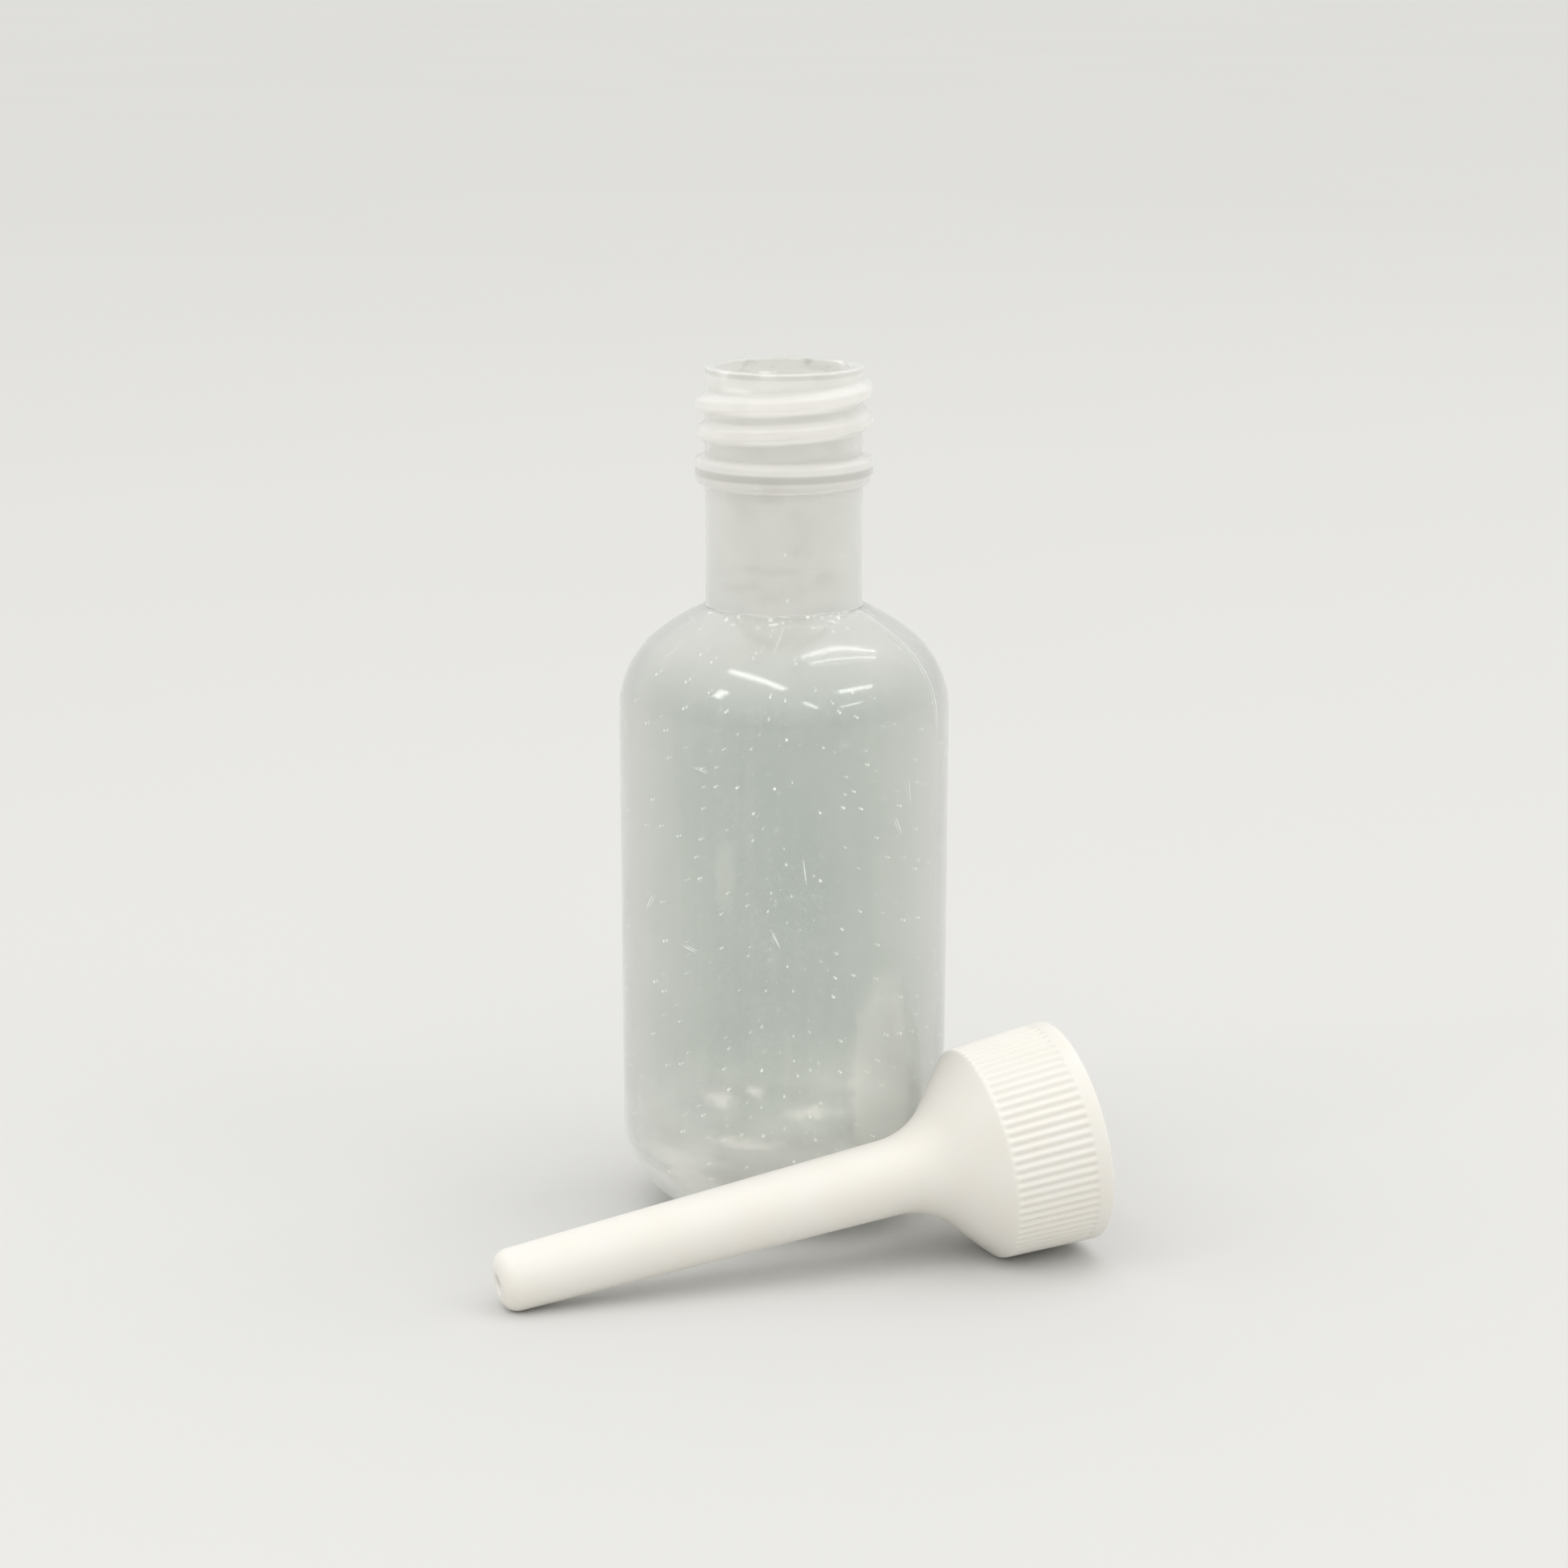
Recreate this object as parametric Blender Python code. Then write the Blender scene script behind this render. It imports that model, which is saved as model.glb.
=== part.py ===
"""Enema bottle: a small squeeze bottle with a long screw neck, and its nozzle cap lying in front of it.

Metres, +Z up. The table is the plane Z = 0, and the origin is the middle of the pair's footprint on it.
The viewer is on the -Y side. The nozzle points to the left and forward.
"""

import itertools
import math

import bmesh
import bpy
from mathutils import Vector

# Bottle body
BOTTLE_HEIGHT = 0.0984
BODY_RADIUS = 0.0189
FOOT_TAPER = 0.0002
BOTTLE_WALL = 0.0009
HEEL_RADIUS = 0.0108
SHOULDER_RADIUS = 0.0110
SHOULDER_SLOPE = math.radians(30.5)
STANDING_RING_WIDTH = 0.0016
PUSH_UP_DEPTH = 0.0012

# Neck
NECK_RADIUS = 0.00895
NECK_LENGTH = 0.0272
NECK_WALL = 0.0013
CREASE_WIDTH = 0.0003
RIM_OUTER_BEVEL = 0.00025
RIM_INNER_BEVEL = 0.0004
BEAD_DEPTH = 0.0100
BEAD_HEIGHT = 0.0036
BEAD_PROUD = 0.00115
BEAD_TOP_CHAMFER = 0.00045
BEAD_LOWER_ROUND = 0.0008

# Screw thread of the neck, and what the cap's thread keeps clear of it
THREAD_PITCH = 0.003175
THREAD_HEIGHT = 0.00113
THREAD_ROOT_SHARE = 0.85
THREAD_CREST_SHARE = 0.28
THREAD_BEVEL_SHARE = 0.2
THREAD_TOP_DEPTH = 0.0019
THREAD_TURNS = 1.97
THREAD_END_ANGLE = math.radians(90)
THREAD_RUNOUT_ANGLE = math.radians(50)
THREAD_SINK = 0.0004
THREAD_CLEARANCE = 0.0003
FLANK_CLEARANCE = 0.00015
CAP_THREAD_DEPTH = 0.0024
CAP_THREAD_TURNS = 1.5

# Nozzle
NOZZLE_LENGTH = 0.0460
NOZZLE_TIP_RADIUS = 0.0035
NOZZLE_ROOT_RADIUS = 0.0043
ORIFICE_RADIUS = 0.0009
ORIFICE_LIP = 0.0005
TIP_FLAT_WIDTH = 0.0002
TIP_WALL = 0.0020
CAP_WALL = 0.0016

# Flare between the nozzle and the skirt
FLARE_RADIUS = 0.0088
FLARE_SLOPE = math.radians(48)
FLARE_EDGE_ROUND = 0.0006

# Ribbed skirt
SKIRT_WALL = 0.0017
SKIRT_TOP_THICKNESS = 0.0011
SKIRT_DRAFT = math.radians(2.9)
SKIRT_EDGE_ROUND = 0.0004
MOUTH_CHAMFER = 0.0004
RIB_COUNT = 72
RIB_DEPTH = 0.00032
RIB_RUNOUT = 0.0004
BAND_WIDTH = 0.0014
CAP_TO_BEAD_GAP = 0.0006

# Sealing washer
WASHER_THICKNESS = 0.0009
WASHER_OVERHANG = 0.0003
WASHER_CHAMFER = 0.00015
SEAT_GAP = 0.0003

# How the cap lies: seen from above, the way its mouth points, its gap to the bottle,
# and how far its tip lies before the place where it passes the bottle
CAP_YAW = math.radians(20)
CAP_STANDOFF = 0.0007
TIP_REACH = 0.0427

# Facets
BOTTLE_FACETS = 52
NOZZLE_FACETS = 36
WASHER_FACETS = 40
RIB_CREST_SHARES = (1, 1, 0)
LARGE_ARC_STEPS = 8
INNER_ARC_STEPS = 5
SMALL_ARC_STEPS = 3
SMOOTH_ANGLE = math.radians(40)
WELD = 0.000001

# Colours and finish
BOTTLE_COLOUR = (0.72, 0.75, 0.70)
CAP_COLOUR = (0.93, 0.91, 0.86)
WASHER_COLOUR = (0.88, 0.88, 0.85)
BOTTLE_ROUGHNESS = 0.28
CAP_ROUGHNESS = 0.38
WASHER_ROUGHNESS = 0.65
BOTTLE_ALPHA_SHARE = 0.6


# General shapes


def clear_scene():
    """Takes away whatever the scene starts with."""
    for item in list(bpy.data.objects):
        bpy.data.objects.remove(item, do_unlink=True)


def plastic(name, colour, roughness, alpha_share=1):
    """A moulded plastic with its own Principled shader."""
    material = bpy.data.materials.new(name)
    material.use_nodes = True
    shader = material.node_tree.nodes["Principled BSDF"]
    shader.inputs["Base Color"].default_value = (*colour, 1)
    shader.inputs["Roughness"].default_value = roughness
    shader.inputs["Metallic"].default_value = 0
    shader.inputs["Alpha"].default_value = alpha_share
    material.diffuse_color = (*colour, alpha_share)
    return material


def arc(centre, radius, start, end, steps):
    """Points on an arc about a (radius, height) centre, from one angle to another, both included."""
    points = []
    for step in range(steps + 1):
        angle = start + (end - start) * step / steps
        points.append((centre[0] + radius * math.cos(angle), centre[1] + radius * math.sin(angle)))
    return points


def turned(outline, facets, is_ring=False):
    """Spins an outline of (radius, height) points about Z. A ring's outline also joins its ends."""
    mesh = bmesh.new()
    points = [mesh.verts.new((radius, 0, height)) for radius, height in outline]
    edges = [mesh.edges.new(pair) for pair in itertools.pairwise(points)]
    if is_ring:
        edges.append(mesh.edges.new((points[-1], points[0])))
    bmesh.ops.spin(
        mesh,
        geom=points + edges,
        cent=(0, 0, 0),
        axis=(0, 0, 1),
        angle=math.tau,
        steps=facets,
    )
    bmesh.ops.remove_doubles(mesh, verts=mesh.verts, dist=WELD)
    return mesh


def circle(mesh, point, facets, depths=(0,)):
    """A ring of points about Z at an outline point, each drawn in by the next of the repeating depths."""
    radius, height = point
    ring = []
    for index in range(facets):
        angle = math.tau * index / facets
        reach = radius - depths[index % len(depths)]
        ring.append(mesh.verts.new((reach * math.cos(angle), reach * math.sin(angle), height)))
    return ring


def join_rings(mesh, first, second):
    """Faces between two rings, one of which may have a whole number of times the other's points."""
    fine, coarse = (first, second) if len(first) >= len(second) else (second, first)
    ratio = len(fine) // len(coarse)
    halfway = (ratio + 1) // 2
    for index, corner in enumerate(coarse):
        following = coarse[(index + 1) % len(coarse)]
        run = [fine[(index * ratio + step) % len(fine)] for step in range(ratio + 1)]
        if ratio == 1:
            mesh.faces.new((corner, run[0], run[1], following))
        else:
            for step in range(ratio):
                mesh.faces.new((corner if step < halfway else following, run[step], run[step + 1]))
            mesh.faces.new((corner, run[halfway], following))


def finish(name, mesh, material, stand):
    """Makes an object of a bmesh on its stand, with its faces outward and its round sides smooth."""
    bmesh.ops.recalc_face_normals(mesh, faces=mesh.faces)
    data = bpy.data.meshes.new(name)
    mesh.to_mesh(data)
    mesh.free()
    data.materials.append(material)
    data.shade_smooth()
    data.set_sharp_from_angle(angle=SMOOTH_ANGLE)
    item = bpy.data.objects.new(name, data)
    bpy.context.collection.objects.link(item)
    item.parent = stand
    return item


def stand_at(name):
    """An empty that carries the pieces of one body."""
    stand = bpy.data.objects.new(name, None)
    bpy.context.collection.objects.link(stand)
    return stand


def moulded_on(item, feature):
    """Joins a feature to the piece that carries it, and keeps the feature as a guide."""
    feature.display_type = "WIRE"
    feature.hide_render = True
    union = item.modifiers.new(feature.name, "BOOLEAN")
    union.operation = "UNION"
    union.solver = "EXACT"
    union.object = feature


# Screw thread


def neck_ridge_width(height):
    """How wide the neck's ridge is, along the axis, at a height above the neck's wall."""
    root = THREAD_PITCH * THREAD_ROOT_SHARE
    crest = THREAD_PITCH * THREAD_CREST_SHARE
    return root - (root - crest) * height / THREAD_HEIGHT


def helical_ridge(wall_radius, height, crest_width, start_height, turns, facets, end_angle, side):
    """A right-hand ridge that climbs Z on a round wall, and dives into the wall at both ends.

    side is 1 for a ridge outside the wall and -1 for one inside. The flanks keep the neck ridge's slope.
    The steps fall halfway between the wall's own edges, so that no two edges coincide.
    """
    mesh = bmesh.new()
    flank = (neck_ridge_width(0) - neck_ridge_width(THREAD_HEIGHT)) / 2 / THREAD_HEIGHT
    base_half_width = crest_width / 2 + flank * (height + THREAD_SINK)
    steps = round(turns * facets)
    sections = []
    for step in range(steps + 1):
        angle = end_angle + math.tau * (step - steps) / facets + math.pi / facets
        climbed = THREAD_PITCH * step / facets
        from_end = math.tau * min(step, steps - step) / facets
        fade = math.sin(min(1, from_end / THREAD_RUNOUT_ANGLE) * math.pi / 2)
        top = height * fade - THREAD_SINK / 2 * (1 - fade)
        bevel = (top + THREAD_SINK) * THREAD_BEVEL_SHARE
        bevel_half_width = crest_width / 2 + (base_half_width - crest_width / 2) * THREAD_BEVEL_SHARE
        crest_half_width = crest_width / 2 * (1 - THREAD_BEVEL_SHARE)
        section = (
            (-THREAD_SINK, -base_half_width),
            (top - bevel, -bevel_half_width),
            (top, -crest_half_width),
            (top, crest_half_width),
            (top - bevel, bevel_half_width),
            (-THREAD_SINK, base_half_width),
        )
        ring = []
        for rise, offset in section:
            reach = wall_radius + side * rise
            place = (reach * math.cos(angle), reach * math.sin(angle), start_height + climbed + offset)
            ring.append(mesh.verts.new(place))
        sections.append(ring)
    for here, there in itertools.pairwise(sections):
        for index in range(len(here)):
            following = (index + 1) % len(here)
            mesh.faces.new((here[index], here[following], there[following], there[index]))
    mesh.faces.new(sections[0])
    mesh.faces.new(sections[-1])
    return mesh


# Bottle


def push_up(radius, edge_radius):
    """Height of the base's shallow dome at a radius, zero at its edge."""
    sphere = (edge_radius**2 + PUSH_UP_DEPTH**2) / (2 * PUSH_UP_DEPTH)
    return PUSH_UP_DEPTH - sphere + math.sqrt(sphere**2 - radius**2)


def bottle_outline():
    """The bottle's outline from the middle of its base, up the outside, over the rim and down the inside."""
    foot_radius = BODY_RADIUS - FOOT_TAPER
    heel_centre = (foot_radius - HEEL_RADIUS, HEEL_RADIUS)
    dome_radius = heel_centre[0] - STANDING_RING_WIDTH
    crease = BOTTLE_HEIGHT - NECK_LENGTH
    centre_radius = BODY_RADIUS - SHOULDER_RADIUS
    slope_radius = centre_radius + SHOULDER_RADIUS * math.sin(SHOULDER_SLOPE)
    slope_height = crease - (slope_radius - NECK_RADIUS) * math.tan(SHOULDER_SLOPE)
    shoulder_centre = (centre_radius, slope_height - SHOULDER_RADIUS * math.cos(SHOULDER_SLOPE))
    shoulder_end = math.pi / 2 - SHOULDER_SLOPE
    bead_top = BOTTLE_HEIGHT - BEAD_DEPTH
    bead_low = bead_top - BEAD_HEIGHT
    bore = NECK_RADIUS - NECK_WALL

    dome = [dome_radius * step / INNER_ARC_STEPS for step in range(INNER_ARC_STEPS + 1)]
    outside = [(radius, push_up(radius, dome_radius)) for radius in dome]
    outside += arc(heel_centre, HEEL_RADIUS, -math.pi / 2, 0, LARGE_ARC_STEPS)
    outside += arc(shoulder_centre, SHOULDER_RADIUS, 0, shoulder_end, LARGE_ARC_STEPS)
    outside += [
        (NECK_RADIUS + CREASE_WIDTH, crease - CREASE_WIDTH * math.tan(SHOULDER_SLOPE)),
        (NECK_RADIUS, crease + CREASE_WIDTH),
    ]
    for step in range(SMALL_ARC_STEPS + 1):
        angle = math.pi / 2 * step / SMALL_ARC_STEPS
        radius = NECK_RADIUS + BEAD_PROUD * math.sin(angle)
        outside.append((radius, bead_low + BEAD_LOWER_ROUND * (1 - math.cos(angle))))
    outside += [
        (NECK_RADIUS + BEAD_PROUD, bead_top - BEAD_TOP_CHAMFER),
        (NECK_RADIUS, bead_top),
        (NECK_RADIUS, BOTTLE_HEIGHT - RIM_OUTER_BEVEL),
        (NECK_RADIUS - RIM_OUTER_BEVEL, BOTTLE_HEIGHT),
    ]
    inner_crease = slope_height + (slope_radius - bore) * math.tan(SHOULDER_SLOPE)
    inside = [
        (bore + RIM_INNER_BEVEL, BOTTLE_HEIGHT),
        (bore, BOTTLE_HEIGHT - RIM_INNER_BEVEL),
        (bore, inner_crease - BOTTLE_WALL / math.cos(SHOULDER_SLOPE)),
    ]
    inside += arc(shoulder_centre, SHOULDER_RADIUS - BOTTLE_WALL, shoulder_end, 0, INNER_ARC_STEPS)
    inside += arc(heel_centre, HEEL_RADIUS - BOTTLE_WALL, 0, -math.pi / 2, INNER_ARC_STEPS)
    inside += [(radius, push_up(radius, dome_radius) + BOTTLE_WALL) for radius in reversed(dome)]
    return outside + inside


def make_bottle(stand):
    """The blow-moulded bottle, with the thread moulded on its neck."""
    look = plastic("bottle_plastic", BOTTLE_COLOUR, BOTTLE_ROUGHNESS, BOTTLE_ALPHA_SHARE)
    bottle = finish("bottle", turned(bottle_outline(), BOTTLE_FACETS), look, stand)
    ridge = helical_ridge(
        wall_radius=NECK_RADIUS,
        height=THREAD_HEIGHT,
        crest_width=neck_ridge_width(THREAD_HEIGHT),
        start_height=BOTTLE_HEIGHT - THREAD_TOP_DEPTH - THREAD_PITCH * THREAD_TURNS,
        turns=THREAD_TURNS,
        facets=BOTTLE_FACETS,
        end_angle=THREAD_END_ANGLE,
        side=1,
    )
    moulded_on(bottle, finish("neck_thread", ridge, look, stand))
    return bottle


# Nozzle cap, turned about Z from its tip at zero height to its open mouth


class CapSizes:
    """Radii and heights of the cap that follow from the neck, the washer and the cap's own walls."""

    def __init__(self):
        self.bore = NECK_RADIUS + THREAD_HEIGHT + THREAD_CLEARANCE
        self.tip_flat = ORIFICE_RADIUS + ORIFICE_LIP + TIP_FLAT_WIDTH
        self.tip_round = NOZZLE_TIP_RADIUS - self.tip_flat
        run = NOZZLE_LENGTH - self.tip_round
        self.taper = math.atan2(NOZZLE_ROOT_RADIUS - NOZZLE_TIP_RADIUS, run)
        self.flare_centre = (
            NOZZLE_ROOT_RADIUS + FLARE_RADIUS * math.cos(self.taper),
            NOZZLE_LENGTH - FLARE_RADIUS * math.sin(self.taper),
        )
        flare_end = self.flare_point(FLARE_SLOPE, FLARE_RADIUS)
        self.corner_radius = self.bore + SKIRT_WALL - RIB_DEPTH
        self.corner = flare_end[1] + (self.corner_radius - flare_end[0]) / math.tan(FLARE_SLOPE)
        self.ledge = self.corner + SKIRT_TOP_THICKNESS
        self.rim_seat = self.ledge + SEAT_GAP + WASHER_THICKNESS
        self.mouth = self.rim_seat + BEAD_DEPTH - CAP_TO_BEAD_GAP
        self.ledge_radius = NECK_RADIUS - NECK_WALL

    def flare_point(self, slope, radius):
        """The point of the flare's arc, or of one parallel to it, where the outline has a slope."""
        return (
            self.flare_centre[0] - radius * math.cos(slope),
            self.flare_centre[1] + radius * math.sin(slope),
        )

    def flare_arc(self, radius, steps):
        """The flare's arc, or one parallel to it, from the nozzle to the cone."""
        slopes = [self.taper + (FLARE_SLOPE - self.taper) * step / steps for step in range(steps + 1)]
        return [self.flare_point(slope, radius) for slope in slopes]

    def skirt_radius(self, height):
        """Radius over the ribs and the band, which grows towards the mouth."""
        return self.corner_radius + RIB_DEPTH + (height - self.corner) * math.tan(SKIRT_DRAFT)


def cap_rings(sizes):
    """The cap's outline as (point, facets, depths) rings: from the orifice, outside to the mouth and back."""
    flare_facets = NOZZLE_FACETS * 2
    rib_depths = [RIB_DEPTH * (1 - share) for share in RIB_CREST_SHARES]
    rib_facets = RIB_COUNT * len(rib_depths)
    plain = (0,)
    rings = [((ORIFICE_RADIUS + ORIFICE_LIP, 0), NOZZLE_FACETS, plain)]

    tip_centre = (sizes.tip_flat, sizes.tip_round)
    for point in arc(tip_centre, sizes.tip_round, -math.pi / 2, 0, INNER_ARC_STEPS):
        rings.append((point, NOZZLE_FACETS, plain))
    for point in sizes.flare_arc(FLARE_RADIUS, LARGE_ARC_STEPS):
        rings.append((point, NOZZLE_FACETS, plain))

    tangent = FLARE_EDGE_ROUND * math.tan((FLARE_SLOPE - SKIRT_DRAFT) / 2)
    cone_end = (
        sizes.corner_radius - tangent * math.sin(FLARE_SLOPE),
        sizes.corner - tangent * math.cos(FLARE_SLOPE),
    )
    edge_centre = (
        cone_end[0] - FLARE_EDGE_ROUND * math.cos(FLARE_SLOPE),
        cone_end[1] + FLARE_EDGE_ROUND * math.sin(FLARE_SLOPE),
    )
    edge = arc(edge_centre, FLARE_EDGE_ROUND, -FLARE_SLOPE, -SKIRT_DRAFT, SMALL_ARC_STEPS)
    for point in edge:
        rings.append((point, flare_facets, plain))

    ribs_start = edge[-1][1] + RIB_RUNOUT
    band_start = sizes.mouth - SKIRT_EDGE_ROUND - BAND_WIDTH
    edge_start = sizes.mouth - SKIRT_EDGE_ROUND
    for height, depths in (
        (ribs_start, rib_depths),
        (band_start - RIB_RUNOUT, rib_depths),
        (band_start, plain),
        (edge_start, plain),
    ):
        rings.append(((sizes.skirt_radius(height), height), rib_facets, depths))

    lip_centre = (sizes.skirt_radius(edge_start) - SKIRT_EDGE_ROUND, edge_start)
    for point in arc(lip_centre, SKIRT_EDGE_ROUND, 0, math.pi / 2, SMALL_ARC_STEPS)[1:]:
        rings.append((point, flare_facets, plain))
    for point in (
        (sizes.bore + MOUTH_CHAMFER, sizes.mouth),
        (sizes.bore, sizes.mouth - MOUTH_CHAMFER),
        (sizes.bore, sizes.ledge),
        (sizes.ledge_radius, sizes.ledge),
    ):
        rings.append((point, flare_facets, plain))

    hollow = sizes.flare_arc(FLARE_RADIUS + CAP_WALL, INNER_ARC_STEPS)
    cone_rise = (sizes.ledge_radius - hollow[-1][0]) / math.tan(FLARE_SLOPE)
    rings.append(((sizes.ledge_radius, hollow[-1][1] + cone_rise), NOZZLE_FACETS, plain))
    for point in reversed(hollow):
        rings.append((point, NOZZLE_FACETS, plain))
    bore_at_tip = NOZZLE_TIP_RADIUS - CAP_WALL
    for point in (
        (bore_at_tip, TIP_WALL),
        (ORIFICE_RADIUS, TIP_WALL),
        (ORIFICE_RADIUS, ORIFICE_LIP),
    ):
        rings.append((point, NOZZLE_FACETS, plain))
    return rings


def make_cap(stand, sizes, rings):
    """The moulded cap: nozzle, flare and ribbed skirt in one, hollow right through, threaded inside."""
    look = plastic("cap_plastic", CAP_COLOUR, CAP_ROUGHNESS)
    mesh = bmesh.new()
    circles = [circle(mesh, point, facets, depths) for point, facets, depths in rings]
    for first, second in itertools.pairwise(circles + circles[:1]):
        join_rings(mesh, first, second)
    cap = finish("nozzle_cap", mesh, look, stand)
    ridge = helical_ridge(
        wall_radius=sizes.bore,
        height=THREAD_HEIGHT,
        crest_width=THREAD_PITCH - neck_ridge_width(THREAD_CLEARANCE) - 2 * FLANK_CLEARANCE,
        start_height=sizes.rim_seat + CAP_THREAD_DEPTH,
        turns=CAP_THREAD_TURNS,
        facets=NOZZLE_FACETS * 2,
        end_angle=0,
        side=-1,
    )
    moulded_on(cap, finish("cap_thread", ridge, look, stand))
    return cap


def make_washer(stand, sizes):
    """The flat sealing washer, which lies on the ledge inside the cap."""
    outer = sizes.bore - SEAT_GAP
    inner = NECK_RADIUS - NECK_WALL - WASHER_OVERHANG
    outline = [
        (outer, WASHER_CHAMFER),
        (outer, WASHER_THICKNESS - WASHER_CHAMFER),
        (outer - WASHER_CHAMFER, WASHER_THICKNESS),
        (inner + WASHER_CHAMFER, WASHER_THICKNESS),
        (inner, WASHER_THICKNESS - WASHER_CHAMFER),
        (inner, WASHER_CHAMFER),
        (inner + WASHER_CHAMFER, 0),
        (outer - WASHER_CHAMFER, 0),
    ]
    look = plastic("washer_foam", WASHER_COLOUR, WASHER_ROUGHNESS)
    washer = finish("sealing_washer", turned(outline, WASHER_FACETS, is_ring=True), look, stand)
    washer.location.z = sizes.ledge + SEAT_GAP
    return washer


# Placing


def lying_points(outline):
    """The two points of a turned outline that touch the table when the piece lies on its side."""

    def is_outermost(pair):
        (low_radius, low), (high_radius, high) = pair
        return high - low > WELD and all(
            (radius - low_radius) * (high - low) <= (high_radius - low_radius) * (height - low) + WELD**2
            for radius, height in outline
        )

    ordered = sorted(outline, key=lambda point: point[1])
    return max(filter(is_outermost, itertools.combinations(ordered, 2)), key=lambda p: p[1][1] - p[0][1])


def lay_cap(stand, outline):
    """Lays the cap on its tip and its mouth's edge, beside the bottle, with a named gap to it."""
    (low_radius, low), (high_radius, high) = lying_points(outline)
    tilt = math.atan2(high_radius - low_radius, high - low)
    tip_height = low_radius * math.cos(tilt) - low * math.sin(tilt)
    keep_out = BODY_RADIUS + CAP_STANDOFF
    side_distance = 0
    for radius, height in outline:
        along = height * math.cos(tilt) - TIP_REACH
        if abs(along) < keep_out:
            side_distance = max(side_distance, radius + math.sqrt(keep_out**2 - along**2))
    ahead = Vector((math.cos(CAP_YAW), math.sin(CAP_YAW), 0))
    aside = Vector((math.sin(CAP_YAW), -math.cos(CAP_YAW), 0))
    stand.location = aside * side_distance - ahead * TIP_REACH + Vector((0, 0, tip_height))
    stand.rotation_euler = (0, math.pi / 2 - tilt, CAP_YAW)


def centre_footprint(stands, pieces):
    """Moves the stands so that the origin is the middle of the pieces' footprint on the table."""
    bpy.context.view_layer.update()
    corners = [piece.matrix_world @ vertex.co for piece in pieces for vertex in piece.data.vertices]
    middle = Vector((0, 0, 0))
    for axis in range(2):
        reach = [corner[axis] for corner in corners]
        middle[axis] = (min(reach) + max(reach)) / 2
    for stand in stands:
        stand.location -= middle
    bpy.context.view_layer.update()


def main():
    clear_scene()
    bottle_stand = stand_at("bottle_stand")
    cap_stand = stand_at("cap_stand")
    sizes = CapSizes()
    rings = cap_rings(sizes)
    bottle = make_bottle(bottle_stand)
    cap = make_cap(cap_stand, sizes, rings)
    washer = make_washer(cap_stand, sizes)
    lay_cap(cap_stand, [point for point, facets, depths in rings])
    centre_footprint((bottle_stand, cap_stand), (bottle, cap, washer))


main()
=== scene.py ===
"""Looks of the squeeze bottle and its nozzle cap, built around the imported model.

Metres, +Z up, the viewer on the -Y side. Each piece is made about its own axis, which is its object's Z,
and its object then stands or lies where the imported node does.
"""

import functools
import itertools
import math

import bmesh
import bpy
from bpy.props import FloatProperty, FloatVectorProperty, IntProperty, PointerProperty
from mathutils import Euler, Matrix, Vector


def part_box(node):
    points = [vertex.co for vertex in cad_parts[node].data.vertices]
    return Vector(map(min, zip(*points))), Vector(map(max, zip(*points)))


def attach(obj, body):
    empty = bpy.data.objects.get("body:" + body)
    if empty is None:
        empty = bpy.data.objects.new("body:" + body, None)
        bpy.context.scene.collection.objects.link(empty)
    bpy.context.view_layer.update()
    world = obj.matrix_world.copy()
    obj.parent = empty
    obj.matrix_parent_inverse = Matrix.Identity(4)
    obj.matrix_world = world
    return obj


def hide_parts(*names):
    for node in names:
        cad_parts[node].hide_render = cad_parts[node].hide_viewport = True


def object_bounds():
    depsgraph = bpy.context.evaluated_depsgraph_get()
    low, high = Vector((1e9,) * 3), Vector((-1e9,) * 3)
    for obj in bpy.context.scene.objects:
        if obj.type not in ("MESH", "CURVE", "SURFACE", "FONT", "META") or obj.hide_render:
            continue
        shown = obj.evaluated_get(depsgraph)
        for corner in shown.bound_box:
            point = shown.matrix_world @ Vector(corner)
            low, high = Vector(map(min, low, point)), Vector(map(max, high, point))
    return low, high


bl_info = {
    "name": "Squeeze Bottle with Nozzle Cap",
    "version": (1, 0, 0),
    "blender": (4, 5, 0),
    "location": "View3D > Sidebar > Squeeze Bottle",
    "description": "Models a translucent squeeze bottle, its ribbed nozzle cap and a plain studio",
    "category": "Add Mesh",
}

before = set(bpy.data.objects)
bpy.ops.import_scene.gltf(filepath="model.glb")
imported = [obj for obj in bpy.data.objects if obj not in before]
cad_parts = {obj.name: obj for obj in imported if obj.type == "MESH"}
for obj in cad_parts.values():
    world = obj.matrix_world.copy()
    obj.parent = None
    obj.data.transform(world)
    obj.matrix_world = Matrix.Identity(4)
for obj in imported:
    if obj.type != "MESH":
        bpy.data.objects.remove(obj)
PACKED_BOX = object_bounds()
BOTTLE_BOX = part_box("bottle")
CAP_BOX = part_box("nozzle_cap")
PHOTO_SIDE = 1932

# The ceiling's tubes: name, place along X and Y, turn, length and width.
# The glints on the shoulder show where they are.
TUBES = (
    ("tube_right_far", 0.435, 0.355, math.radians(44), 0.88, 0.035),
    ("tube_right_near", 0.515, 0.195, math.radians(42), 0.82, 0.035),
    ("tube_left", -0.270, -0.520, math.radians(-50), 0.88, 0.11),
    ("tube_right_front", 1.130, -0.550, math.radians(47), 0.72, 0.15),
    ("tube_left_front", -1.150, -0.840, math.radians(30), 0.50, 0.20),
    ("tube_front", 0.660, -1.700, math.radians(-42), 0.70, 0.12),
    ("tube_right_nearest", 1.750, -1.390, math.radians(60), 0.75, 0.12),
)

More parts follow.
